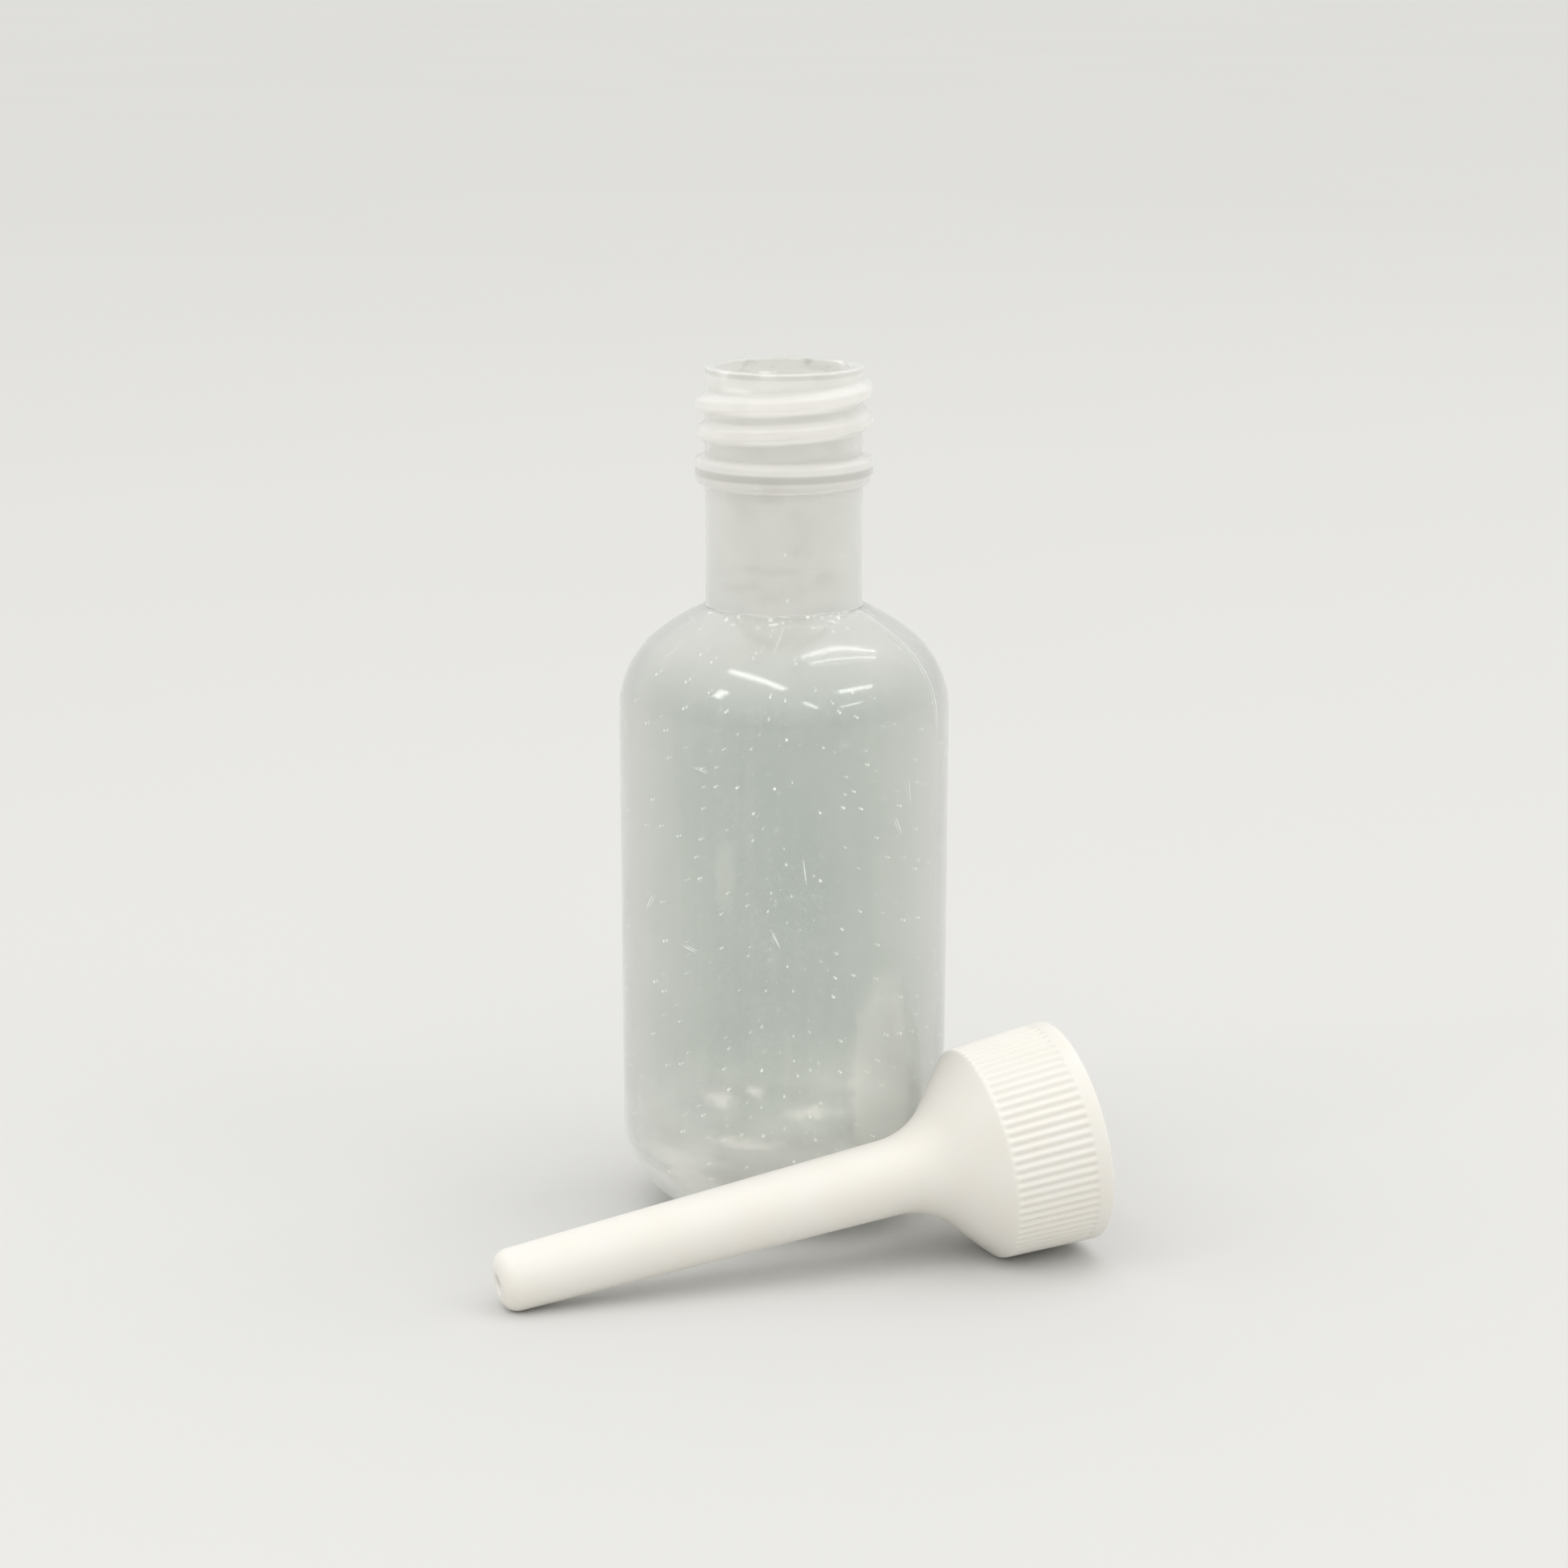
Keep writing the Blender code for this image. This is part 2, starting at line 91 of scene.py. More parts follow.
# Paler patches of the blown wall, partly cloudy haze and partly painted reflections: the first row is a painted
# reflection of the cap, and the four low rows of strength 0.9 and 1.0 are painted reflections low in the wall,
# which also glow. Angle from the front in degrees, height as a share of the bottle's, half sizes in the same
# units, softness and strength.
HAZE_AND_REFLECTION_PATCHES = (
    (38, 0.19, 17, 0.155, 0.35, 0.7),
    (-46, 0.665, 14, 0.025, 0.5, 0.5),
    (-21, 0.445, 6, 0.07, 0.7, 0.4),
    (-24, 0.177, 10, 0.018, 0.9, 1.0),
    (-10, 0.190, 5, 0.010, 0.9, 1.0),
    (9, 0.164, 12, 0.014, 0.9, 1.0),
    (-14, 0.125, 26, 0.014, 0.8, 0.9),
)

# Directions of the short scratches: turn of the pattern, how far it is drawn out, and its scale.
SCRATCHES = ((0.45, 16, 260), (-0.6, 22, 300), (0.12, 30, 340), (1.3, 14, 240))
BLACK = (0, 0, 0)

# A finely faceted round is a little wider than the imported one, so it is drawn this much smaller.
INSIDE_THE_BOX = 0.9998

# Points nearer than this are one point.
SAME_POINT = 1e-7

# Facets round the washer, and round the cap's outline when its box is measured.
WASHER_COLUMNS = 144
MEASURED_COLUMNS = 288

# Longest steps in metres up a wall without a thread, and up the neck's bore.
PLAIN_ROW = 0.001
BORE_ROW = 0.004

# Facets along the curves of the outlines, outside and inside where the two differ.
DOME_STEPS = 10
HEEL_STEPS = (28, 24)
SHOULDER_STEPS = (24, 20)
BULGE_STEPS = (10, 8)
BEAD_STEPS = 8
TIP_STEPS = 14
FLARE_STEPS = (28, 20)
SKIRT_EDGE_STEPS = 7
SKIRT_ROWS = 6
SMALL_ROUND_STEPS = 5
WASHER_ROUND_STEPS = 4

# Edges that turn more than this stay sharp. The floor reaches this many metres each way, in so many cells.
SHARP_ANGLE = math.radians(50)
FLOOR_REACH = 8
FLOOR_CELLS = 8


# Properties


def length(name, default, description):
    """A size in metres."""
    settings = {"min": 0, "precision": 5, "subtype": "DISTANCE", "unit": "LENGTH"}
    return FloatProperty(name=name, description=description, default=default, **settings)


def angle(name, degrees, description):
    """An angle, given here in degrees."""
    settings = {"default": math.radians(degrees), "subtype": "ANGLE", "unit": "ROTATION"}
    return FloatProperty(name=name, description=description, **settings)


def share(name, default, description):
    """A plain factor from 0 to 1."""
    settings = {"min": 0, "max": 1, "subtype": "FACTOR"}
    return FloatProperty(name=name, description=description, default=default, **settings)


def count(name, default, description):
    """A whole number of facets, rows or ribs."""
    return IntProperty(name=name, description=description, default=default, min=3)


def number(name, default, description, least=0):
    """A plain number."""
    return FloatProperty(name=name, description=description, default=default, min=least)


def colour(name, default, description):
    """A colour in scene-linear red, green and blue."""
    settings = {"size": 3, "min": 0, "max": 1, "subtype": "COLOR"}
    return FloatVectorProperty(name=name, description=description, default=default, **settings)


class ThreadSizes(bpy.types.PropertyGroup):
    """The screw thread that the neck and the cap share."""

    pitch: length("Pitch", 0.003175, "Rise of the ridge in one turn")
    height: length("Height", 0.00113, "How far the ridge stands out of its wall")
    root_share: share("Root", 0.85, "Width of the ridge at its root, as a share of the pitch")
    crest_share: share("Crest", 0.28, "Width of the ridge at its crest, as a share of the pitch")
    turns: number("Turns", 1.97, "Turns on the neck", 0.5)
    end_angle: angle("End Angle", 90, "Where the neck's ridge ends, from the right side round to the back")
    runout: angle("Runout", 50, "Angle over which a ridge fades at each end")
    top_depth: length("Top Depth", 0.0019, "Depth of the neck ridge's end below the rim")
    clearance: length("Clearance", 0.0003, "Space between the neck's crest and the cap's wall")
    cap_depth: length("Cap Depth", 0.0024, "Depth of the cap ridge's start below the seat")
    cap_turns: number("Cap Turns", 1.5, "Turns in the cap", 0.5)
    row_step: length("Row Step", 0.00014, "Height between the rows of the threaded walls")


class BottleSizes(bpy.types.PropertyGroup):
    """The blown bottle and its neck."""

    height: length("Height", BOTTLE_BOX[1].z - BOTTLE_BOX[0].z, "From the table to the rim")
    radius: length("Radius", 0.0189, "Radius of the body")
    foot_taper: length("Foot Taper", 0.0002, "How much the body narrows down to the heel")
    wall: length("Wall", 0.0009, "Thickness of the blown wall")
    heel_radius: length("Heel", 0.0108, "Radius of the round at the foot")
    shoulder_radius: length("Shoulder", 0.0110, "Radius of the round at the shoulder")
    shoulder_slope: angle("Shoulder Slope", 30.5, "Slope of the shoulder up to the neck")
    shoulder_bulge: angle("Shoulder Bulge", 7, "How much steeper the slope starts than it is on average")
    foot_share: share("Foot Height", 0.8, "Height of the thick, milky foot, as a share of the heel's radius")
    ring_width: length("Standing Ring", 0.0016, "Width of the flat ring that the bottle stands on")
    push_up: length("Push-up", 0.0012, "Height of the hollow under the base")
    neck_radius: length("Neck Radius", 0.00895, "Radius of the neck's outer wall")
    neck_length: length("Neck Length", 0.0272, "From the crease at the shoulder to the rim")
    neck_wall: length("Neck Wall", 0.0013, "Thickness of the neck's wall")
    crease: length("Crease", 0.0003, "Width of the fold between shoulder and neck")
    rim_round: length("Rim Round", 0.00025, "Rounding of the rim's outer edge")
    rim_bevel: length("Rim Bevel", 0.0004, "Rounding of the rim's inner edge")
    bead_depth: length("Bead Depth", 0.0100, "Depth of the bead's top below the rim")
    bead_height: length("Bead Height", 0.0034, "Height of the bead")
    bead_proud: length("Bead Proud", 0.00115, "How far the bead stands out of the neck")
    bead_chamfer: length("Bead Chamfer", 0.00045, "Slope on the bead's top")
    bead_round: length("Bead Round", 0.0010, "Rounding under the bead")
    columns: count("Columns", 192, "Facets round the bottle")


class CapSizes(bpy.types.PropertyGroup):
    """The moulded cap, from the nozzle's tip at zero height to the open mouth."""

    nozzle_length: length("Nozzle Length", 0.0460, "From the tip to the start of the flare")
    tip_radius: length("Tip Radius", 0.0035, "Radius of the nozzle near its tip")
    root_radius: length("Root Radius", 0.0043, "Radius of the nozzle at the flare")
    orifice_radius: length("Orifice", 0.0009, "Radius of the hole in the tip")
    orifice_lip: length("Orifice Lip", 0.0005, "Width of the bevel round the hole")
    tip_flat: length("Tip Flat", 0.0002, "Width of the flat ring round the bevel")
    tip_wall: length("Tip Wall", 0.0020, "Depth of the hole")
    wall: length("Wall", 0.0016, "Thickness of the nozzle and the flare")
    flare_radius: length("Flare", 0.0088, "Radius of the trumpet's curve")
    flare_slope: angle("Flare Slope", 48, "Slope at which the curve becomes a cone")
    flare_round: length("Flare Edge", 0.0008, "Rounding between the cone and the skirt")
    skirt_wall: length("Skirt Wall", 0.0017, "Thickness of the skirt over its ribs")
    skirt_top: length("Skirt Top", 0.0011, "Thickness behind the ledge")
    draft: angle("Draft", 2.9, "How much the skirt widens to its mouth")
    edge_round: length("Mouth Edge", 0.0004, "Rounding of the mouth's outer edge")
    mouth_chamfer: length("Mouth Chamfer", 0.0004, "Slope inside the mouth")
    ribs: count("Ribs", 72, "Grip ribs round the skirt")
    rib_depth: length("Rib Depth", 0.00028, "Depth of the grooves between the ribs")
    rib_facets: count("Rib Facets", 8, "Facets across one rib and its groove")
    rib_runout: length("Rib Runout", 0.0008, "Length over which a groove fades at its ends")
    band: length("Band", 0.0012, "Width of the plain band at the mouth")
    bead_gap: length("Bead Gap", 0.0006, "Space between the seated cap and the neck's bead")
    washer: length("Washer", 0.0009, "Thickness of the sealing washer")
    washer_overhang: length("Washer Overhang", 0.0003, "How far the washer reaches in past the neck's wall")
    washer_round: length("Washer Edge", 0.00015, "Rounding of the washer's edges")
    seat_gap: length("Seat Gap", 0.0003, "Space round the washer on its ledge")
    yaw: angle("Yaw", 20, "Where the mouth points, from the right side round to the back")


class PlasticLook(bpy.types.PropertyGroup):
    """Colours and finish of the mouldings."""

    body: colour("Body", (0.72, 0.768, 0.728), "Tint of the blown wall")
    # Also the colour of the painted reflections, the painted sheen at the edges and the body's painted glow.
    haze_and_painted_light: colour("Haze", (0.975, 0.975, 0.94), "Colour where the blown wall is cloudy")
    neck: colour("Neck", (0.94, 0.94, 0.9), "Colour of the neck's wall")
    # Also the colour of the neck's painted glow.
    ridge_and_glow: colour("Ridges", (1.0, 0.982, 0.94), "Colour of the solid thread and bead")
    # Painted shade: the grey of the bead's face, the rim's top and a band under the lip, where the thick neck is
    # seen through; also the grey of the streaks in the bore.
    see_through_grey: colour("Stripe", (0.70, 0.70, 0.66), "Colour of the bead's outer face")
    # Also the colour of the painted glints, and of the painted glow on the specks, scratches, seam and glints.
    specks_and_glints: colour("Specks", (1.0, 1.0, 0.98), "Colour of the specks and scratches")
    cap: colour("Cap", (0.835, 0.815, 0.765), "Colour of the cap")
    washer: colour("Washer", (0.82, 0.82, 0.79), "Colour of the foam washer")
    foot_clearness: share("Foot Clearness", 0.78, "Share of light that the thick foot lets through")
    body_clearness: share("Body Clearness", 0.88, "Share of light that the blown wall lets through")
    neck_clearness: share("Neck Clearness", 0.6, "Share of light that the thick neck lets through")
    body_roughness: share("Body Roughness", 0.06, "Blur of what is seen through the blown wall")
    neck_roughness: share("Neck Roughness", 0.28, "Blur of what is seen through the neck")
    seam_angle: angle("Seam Angle", 66, "Where the mould's halves met, from the front round to the right")


class StageSettings(bpy.types.PropertyGroup):
    """Camera, floor and lamps."""

    distance: length("Distance", 0.480, "From the bottle's axis to the camera, along the floor")
    camera_height: length("Camera Height", 0.15587, "Height of the camera above the floor")
    pitch: angle("Pitch", 12.86, "How far the camera looks down")
    focal_pixels: number("Focal Length", 5260.08, "In pixels of the photograph", 100)
    centre_row: number("Centre Row", 1005.67, "Row of the photograph that the camera looks at")
    floor: colour("Floor", (0.67, 0.665, 0.65), "Colour of the floor")
    sky: colour("Sky", (1.0, 1.0, 0.99), "Colour of the light all round")
    sky_low: number("Low Sky", 0.72, "Light from the level of the table")
    sky_high: number("High Sky", 1.16, "Light from above")
    tube: number("Tubes", 15, "Watts for each square metre of ceiling tube")
    ceiling: length("Ceiling", 1.07, "Height of the tubes above the floor")


# Outlines and rings


def on_circle(centre, radius, turn):
    """The point of a circle about a (radius, height) centre at an angle from straight out."""
    return centre[0] + radius * math.cos(turn), centre[1] + radius * math.sin(turn)


def arc(centre, radius, start, end, steps=SMALL_ROUND_STEPS):
    """Points on an arc, both ends included."""
    return [on_circle(centre, radius, start + (end - start) * step / steps) for step in range(steps + 1)]


def upright(radius, low, high, step):
    """Points up or down a straight wall, no further apart than step."""
    steps = max(1, math.ceil(abs(high - low) / step))
    return [(radius, low + (high - low) * index / steps) for index in range(steps + 1)]


def distinct(points):
    """The points without repeats, so that no ring has zero width."""
    kept = points[:1]
    for point in points[1:]:
        if math.dist(point, kept[-1]) > SAME_POINT:
            kept.append(point)
    return kept


def ring(mesh, point, columns, reach=None):
    """A ring about Z, or a single point on the axis. reach moves each point of it in or out."""
    radius, height = point
    if radius == 0:
        return [mesh.verts.new((0, 0, height))]
    points = []
    for index in range(columns):
        turn = math.tau * index / columns
        out = radius + (reach(turn, height) if reach else 0)
        points.append(mesh.verts.new((out * math.cos(turn), out * math.sin(turn), height)))
    return points


def bridge(mesh, first, second):
    """Faces between two rings. One may be a point, or have two or more points for each of the other's."""
    fine, coarse = (first, second) if len(first) >= len(second) else (second, first)
    faces = []
    if len(coarse) == 1:
        for index, corner in enumerate(fine):
            faces.append(mesh.faces.new((corner, fine[(index + 1) % len(fine)], coarse[0])))
        return faces
    ratio = len(fine) // len(coarse)
    halfway = (ratio + 1) // 2
    for index, corner in enumerate(coarse):
        following = coarse[(index + 1) % len(coarse)]
        run = [fine[(index * ratio + step) % len(fine)] for step in range(ratio + 1)]
        if ratio == 1:
            faces.append(mesh.faces.new((corner, run[0], run[1], following)))
        else:
            for step in range(ratio):
                near = corner if step < halfway else following
                faces.append(mesh.faces.new((near, run[step], run[step + 1])))
            faces.append(mesh.faces.new((corner, run[halfway], following)))
    return faces


def bridge_round(mesh, rings):
    """Joins each ring to the next, and the last to the first."""
    for first, second in itertools.pairwise(rings + rings[:1]):
        bridge(mesh, first, second)


def new_object(name, data):
    """A new object in the scene."""
    item = bpy.data.objects.new(name, data)
    bpy.context.scene.collection.objects.link(item)
    return item


def finish_piece(name, mesh, materials, stand, body, node, slot):
    """Makes the piece's object, lays it where its node lies, and lets it stand for the node.

    Each point keeps its place along the piece's own axis as an attribute, which the materials read.
    """
    bmesh.ops.recalc_face_normals(mesh, faces=mesh.faces)
    data = bpy.data.meshes.new(name)
    mesh.to_mesh(data)
    mesh.free()
    own_places = data.attributes.new("own_place", "FLOAT_VECTOR", "POINT")
    for vertex, place in zip(data.vertices, own_places.data):
        place.vector = vertex.co
    data.transform(stand.to_3x3().to_4x4())
    for material in materials:
        data.materials.append(material)
    data.shade_smooth()
    data.set_sharp_from_angle(angle=SHARP_ANGLE)
    piece = new_object(name, data)
    piece.location = stand.translation
    bpy.context.view_layer.update()
    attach(piece, body)
    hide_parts(node)
    return piece


# Screw thread


def ridge_rise(sizes, turn, height, start_height, turns, end_angle, crest_width):
    """How far a right-hand ridge stands out of its wall at an angle and a height."""
    flank = (sizes.root_share - sizes.crest_share) * sizes.pitch / 2
    rise = 0
    start_angle = end_angle - math.tau * turns
    wound = ((turn - start_angle) % math.tau) / math.tau
    while wound <= turns:
        offset = abs(height - start_height - sizes.pitch * wound)
        inward = min(1, max(0, (crest_width / 2 + flank - offset) / flank))
        rounded = inward * inward * (3 - 2 * inward)
        from_end = math.tau * min(wound, turns - wound)
        fade = math.sin(min(1, from_end / sizes.runout) * math.pi / 2)
        rise = max(rise, sizes.height * fade * (inward + rounded) / 2)
        wound += 1
    return rise


# Bottle


def bottle_stand():
    """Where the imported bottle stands."""
    low, high = BOTTLE_BOX
    return Matrix.Translation(((low.x + high.x) / 2, (low.y + high.y) / 2, low.z))


class BottleForm:
    """Radii, heights and centres of the bottle that follow from its sizes."""

    def __init__(self, sizes):
        self.foot_radius = sizes.radius - sizes.foot_taper
        self.heel_centre = (self.foot_radius - sizes.heel_radius, sizes.heel_radius)
        self.dome_reach = self.heel_centre[0] - sizes.ring_width
        self.dome_radius = (self.dome_reach**2 + sizes.push_up**2) / (2 * sizes.push_up)
        self.dome_centre = sizes.push_up - self.dome_radius
        self.crease = sizes.height - sizes.neck_length
        self.bead_top = sizes.height - sizes.bead_depth
        self.bead_low = self.bead_top - sizes.bead_height
        self.bore = sizes.neck_radius - sizes.neck_wall

        # The shoulder is a round that runs into a wider, bulging arc, which ends at the crease.
        slope = sizes.shoulder_slope
        centre_radius = sizes.radius - sizes.shoulder_radius
        slope_radius = centre_radius + sizes.shoulder_radius * math.sin(slope)
        slope_height = self.crease - (slope_radius - sizes.neck_radius) * math.tan(slope)
        self.shoulder_centre = (centre_radius, slope_height - sizes.shoulder_radius * math.cos(slope))
        self.shoulder_end = math.pi / 2 - slope - sizes.shoulder_bulge
        bulge_start = on_circle(self.shoulder_centre, sizes.shoulder_radius, self.shoulder_end)
        across = bulge_start[0] - sizes.neck_radius
        rise = self.crease - bulge_start[1]
        bulge_turn = math.pi / 2 - self.shoulder_end - math.atan2(rise, across)
        self.bulge_radius = math.hypot(across, rise) / (2 * math.sin(bulge_turn))
        self.bulge_centre = on_circle(bulge_start, -self.bulge_radius, self.shoulder_end)
        self.bulge_end = self.shoulder_end + 2 * bulge_turn
        self.inner_crease = slope_height + (slope_radius - self.bore) * math.tan(slope)
        self.inner_crease -= sizes.wall / math.cos(slope)

    def dome(self, lift=0):
        """The hollow under the base, from the axis to the standing ring, or its upper side."""
        radii = [self.dome_reach * step / DOME_STEPS for step in range(DOME_STEPS + 1)]
        return [(r, self.dome_centre + math.sqrt(self.dome_radius**2 - r**2) + lift) for r in radii]


def bottle_body(sizes, form):
    """The outline of base, heel, body and shoulder."""
    heel_top = form.heel_centre[1]
    outline = form.dome()
    outline += arc(form.heel_centre, sizes.heel_radius, -math.pi / 2, 0, HEEL_STEPS[0])
    outline += upright(form.foot_radius, heel_top, heel_top + PLAIN_ROW, PLAIN_ROW)
    outline += arc(form.shoulder_centre, sizes.shoulder_radius, 0, form.shoulder_end, SHOULDER_STEPS[0])
    bulge = arc(form.bulge_centre, form.bulge_radius, form.shoulder_end, form.bulge_end, BULGE_STEPS[0])
    fold_low = form.crease - sizes.crease * math.tan(sizes.shoulder_slope)
    outline += bulge[1:-1] + [(sizes.neck_radius + sizes.crease, fold_low)]
    return distinct(outline)


def bottle_neck(sizes, form, thread):
    """The outline of the neck with its bead, threaded wall, rim and bore."""
    neck, fold, chamfer = sizes.neck_radius, sizes.crease, sizes.bead_chamfer
    outline = [
        (neck + fold / 4, form.crease + fold / 4),
        (neck, form.crease + fold),
        (neck, form.bead_low - fold),
        (neck + fold / 6, form.bead_low - fold / 4),
    ]
    for step in range(1, BEAD_STEPS + 1):
        turn = math.pi / 2 * step / BEAD_STEPS
        out = neck + sizes.bead_proud * math.sin(turn)
        outline.append((out, form.bead_low + sizes.bead_round * (1 - math.cos(turn))))
    outline += [
        (out, form.bead_top - chamfer * 1.6),
        (out - chamfer * 0.06, form.bead_top - chamfer * 1.2),
        (out - chamfer * 0.22, form.bead_top - chamfer * 0.9),
        (neck + chamfer * 0.4, form.bead_top - chamfer * 0.12),
        (neck + chamfer * 0.1, form.bead_top + chamfer * 0.05),
    ]
    thread_low = sizes.height - thread.top_depth - thread.pitch * (thread.turns + thread.root_share)
    outline += upright(neck, form.bead_top + chamfer * 0.4, thread_low, PLAIN_ROW)
    outline += upright(neck, thread_low, sizes.height - sizes.rim_round, thread.row_step)
    round_centre = (neck - sizes.rim_round, sizes.height - sizes.rim_round)
    outline += arc(round_centre, sizes.rim_round, 0, math.pi / 2)
    bevel_centre = (form.bore + sizes.rim_bevel, sizes.height - sizes.rim_bevel)
    outline += arc(bevel_centre, sizes.rim_bevel, math.pi / 2, math.pi)
    outline += upright(form.bore, bevel_centre[1], form.inner_crease + fold, BORE_ROW)
    return distinct(outline)


def bottle_inside(sizes, form):
    """The outline of the hollow below the neck."""
    outline = [(form.bore + sizes.crease / 4, form.inner_crease + sizes.crease / 4)]
    bulge, shoulder = form.bulge_radius - sizes.wall, sizes.shoulder_radius - sizes.wall
    outline += arc(form.bulge_centre, bulge, form.bulge_end, form.shoulder_end, BULGE_STEPS[1])[1:-1]
    outline += arc(form.shoulder_centre, shoulder, form.shoulder_end, 0, SHOULDER_STEPS[1])
    outline += arc(form.heel_centre, sizes.heel_radius - sizes.wall, 0, -math.pi / 2, HEEL_STEPS[1])
    outline += reversed(form.dome(sizes.wall))
    return distinct(outline)


def make_bottle_piece(settings):
    """The bottle as one closed shell with a real wall, thin body and thick neck."""
    sizes, thread = settings.bottle, settings.thread
    form = BottleForm(sizes)
    start_height = sizes.height - thread.top_depth - thread.pitch * thread.turns
    crest_width = thread.pitch * thread.crest_share

    def threaded(turn, height):
        return ridge_rise(thread, turn, height, start_height, thread.turns, thread.end_angle, crest_width)

    mesh = bmesh.new()
    rows = [(point, False, None) for point in bottle_body(sizes, form)]
    for point in bottle_neck(sizes, form, thread):
        is_outer = abs(point[0] - sizes.neck_radius) < SAME_POINT
        rows.append((point, True, threaded if is_outer else None))
    rows += [(point, point[1] > form.crease, None) for point in bottle_inside(sizes, form)]
    rings = [ring(mesh, point, sizes.columns, reach) for point, _, reach in rows]
    body_index, neck_index, foot_index = range(3)
    foot_top = sizes.heel_radius * sizes.foot_share
    for index, (first, second) in enumerate(itertools.pairwise(rings)):
        is_foot = max(rows[index][0][1], rows[index + 1][0][1]) < foot_top
        is_neck = rows[index][1]
        for face in bridge(mesh, first, second):
            face.material_index = neck_index if is_neck else foot_index if is_foot else body_index
    bmesh.ops.remove_doubles(mesh, verts=mesh.verts, dist=SAME_POINT)
    look = settings.look
    materials = (
        blown_wall("blown_body_plastic", look, sizes, look.body_clearness),
        moulded_neck("moulded_neck_plastic", look, sizes),
        blown_wall("blown_foot_plastic", look, sizes, look.foot_clearness),
    )
    stand = bottle_stand()
    return finish_piece("bottle_shell", mesh, materials, stand, "bottle", "bottle", "bottle_plastic")


# Nozzle cap


class CapForm:
    """Radii and heights of the cap that follow from the neck, the washer and the cap's own walls."""

    def __init__(self, sizes, bottle, thread):
        self.bore = bottle.neck_radius + thread.height + thread.clearance
        self.tip_flat = sizes.orifice_radius + sizes.orifice_lip + sizes.tip_flat
        self.tip_round = sizes.tip_radius - self.tip_flat
        run = sizes.nozzle_length - self.tip_round
        self.taper = math.atan2(sizes.root_radius - sizes.tip_radius, run)
        self.flare_centre = (
            sizes.root_radius + sizes.flare_radius * math.cos(self.taper),
            sizes.nozzle_length - sizes.flare_radius * math.sin(self.taper),
        )
        self.slope = sizes.flare_slope
        flare_end = self.flare_point(self.slope, sizes.flare_radius)
        self.corner_radius = self.bore + sizes.skirt_wall - sizes.rib_depth
        self.corner = flare_end[1] + (self.corner_radius - flare_end[0]) / math.tan(self.slope)
        self.ledge = self.corner + sizes.skirt_top
        self.rim_seat = self.ledge + sizes.seat_gap + sizes.washer
        self.mouth = self.rim_seat + bottle.bead_depth - sizes.bead_gap
        self.ledge_radius = bottle.neck_radius - bottle.neck_wall

    def flare_point(self, slope, radius):
        """The point of the flare's arc, or of one parallel to it, where the outline has a slope."""
        return on_circle(self.flare_centre, -radius, -slope)

    def flare_arc(self, radius, steps):
        """The flare's arc, or one parallel to it, from the nozzle to the cone."""
        slopes = [self.taper + (self.slope - self.taper) * step / steps for step in range(steps + 1)]
        return [self.flare_point(slope, radius) for slope in slopes]


def cap_outside(sizes, form):
    """The cap's outside, from nozzle and flare over the skirt's edge to its lip, and where the ribs run."""
    lip_centre = (sizes.orifice_radius + sizes.orifice_lip, sizes.orifice_lip)
    nozzle = arc(lip_centre, sizes.orifice_lip, math.pi, math.pi * 1.5)
    nozzle += arc((form.tip_flat, form.tip_round), form.tip_round, -math.pi / 2, 0, TIP_STEPS)
    nozzle += form.flare_arc(sizes.flare_radius, FLARE_STEPS[0])

    def skirt_radius(height):
        return form.corner_radius + sizes.rib_depth + (height - form.corner) * math.tan(sizes.draft)

    crest_corner = form.corner + sizes.rib_depth / (math.tan(form.slope) - math.tan(sizes.draft))
    tangent = sizes.flare_round * math.tan((form.slope - sizes.draft) / 2)
    cone_end = (
        skirt_radius(crest_corner) - tangent * math.sin(form.slope),
        crest_corner - tangent * math.cos(form.slope),
    )
    edge_centre = on_circle(cone_end, -sizes.flare_round, -form.slope)
    edge = arc(edge_centre, sizes.flare_round, -form.slope, -sizes.draft, SKIRT_EDGE_STEPS)

    ribs_start = edge[0][1]
    ribs_end = form.mouth - sizes.edge_round - sizes.band
    straight = ribs_end - ribs_start - 2 * sizes.rib_runout
    shares = [row / SKIRT_ROWS for row in range(1, SKIRT_ROWS + 1)]
    heights = [ribs_start + sizes.rib_runout * share for share in shares]
    heights += [ribs_start + sizes.rib_runout + straight * share for share in shares]
    heights += [ribs_end - sizes.rib_runout * (1 - share) for share in shares]
    heights += [form.mouth - sizes.edge_round]
    skirt = [(skirt_radius(height), height) for height in heights if height > edge[-1][1]]
    lip = arc((skirt[-1][0] - sizes.edge_round, skirt[-1][1]), sizes.edge_round, 0, math.pi / 2)[1:]
    return distinct(nozzle), edge, skirt, lip, (ribs_start, ribs_end)


def cap_inside(sizes, form, thread):
    """The cap's inside in two runs: the threaded skirt down to the ledge, and the hollow up to the tip."""
    chamfer_centre = (form.bore + sizes.mouth_chamfer, form.mouth - sizes.mouth_chamfer)
    skirt = arc(chamfer_centre, sizes.mouth_chamfer, math.pi / 2, math.pi)
    skirt += upright(form.bore, form.mouth - sizes.mouth_chamfer, form.ledge, thread.row_step)
    skirt += [(form.ledge_radius + sizes.washer_round, form.ledge)]
    hollow = form.flare_arc(sizes.flare_radius + sizes.wall, FLARE_STEPS[1])
    rise = (form.ledge_radius - hollow[-1][0]) / math.tan(form.slope)
    bore = [(form.ledge_radius, form.ledge - sizes.washer_round), (form.ledge_radius, hollow[-1][1] + rise)]
    bore += reversed(hollow)
    bore += [
        (sizes.tip_radius - sizes.wall, sizes.tip_wall),
        (sizes.orifice_radius, sizes.tip_wall),
    ]
    return distinct(skirt), distinct(bore)


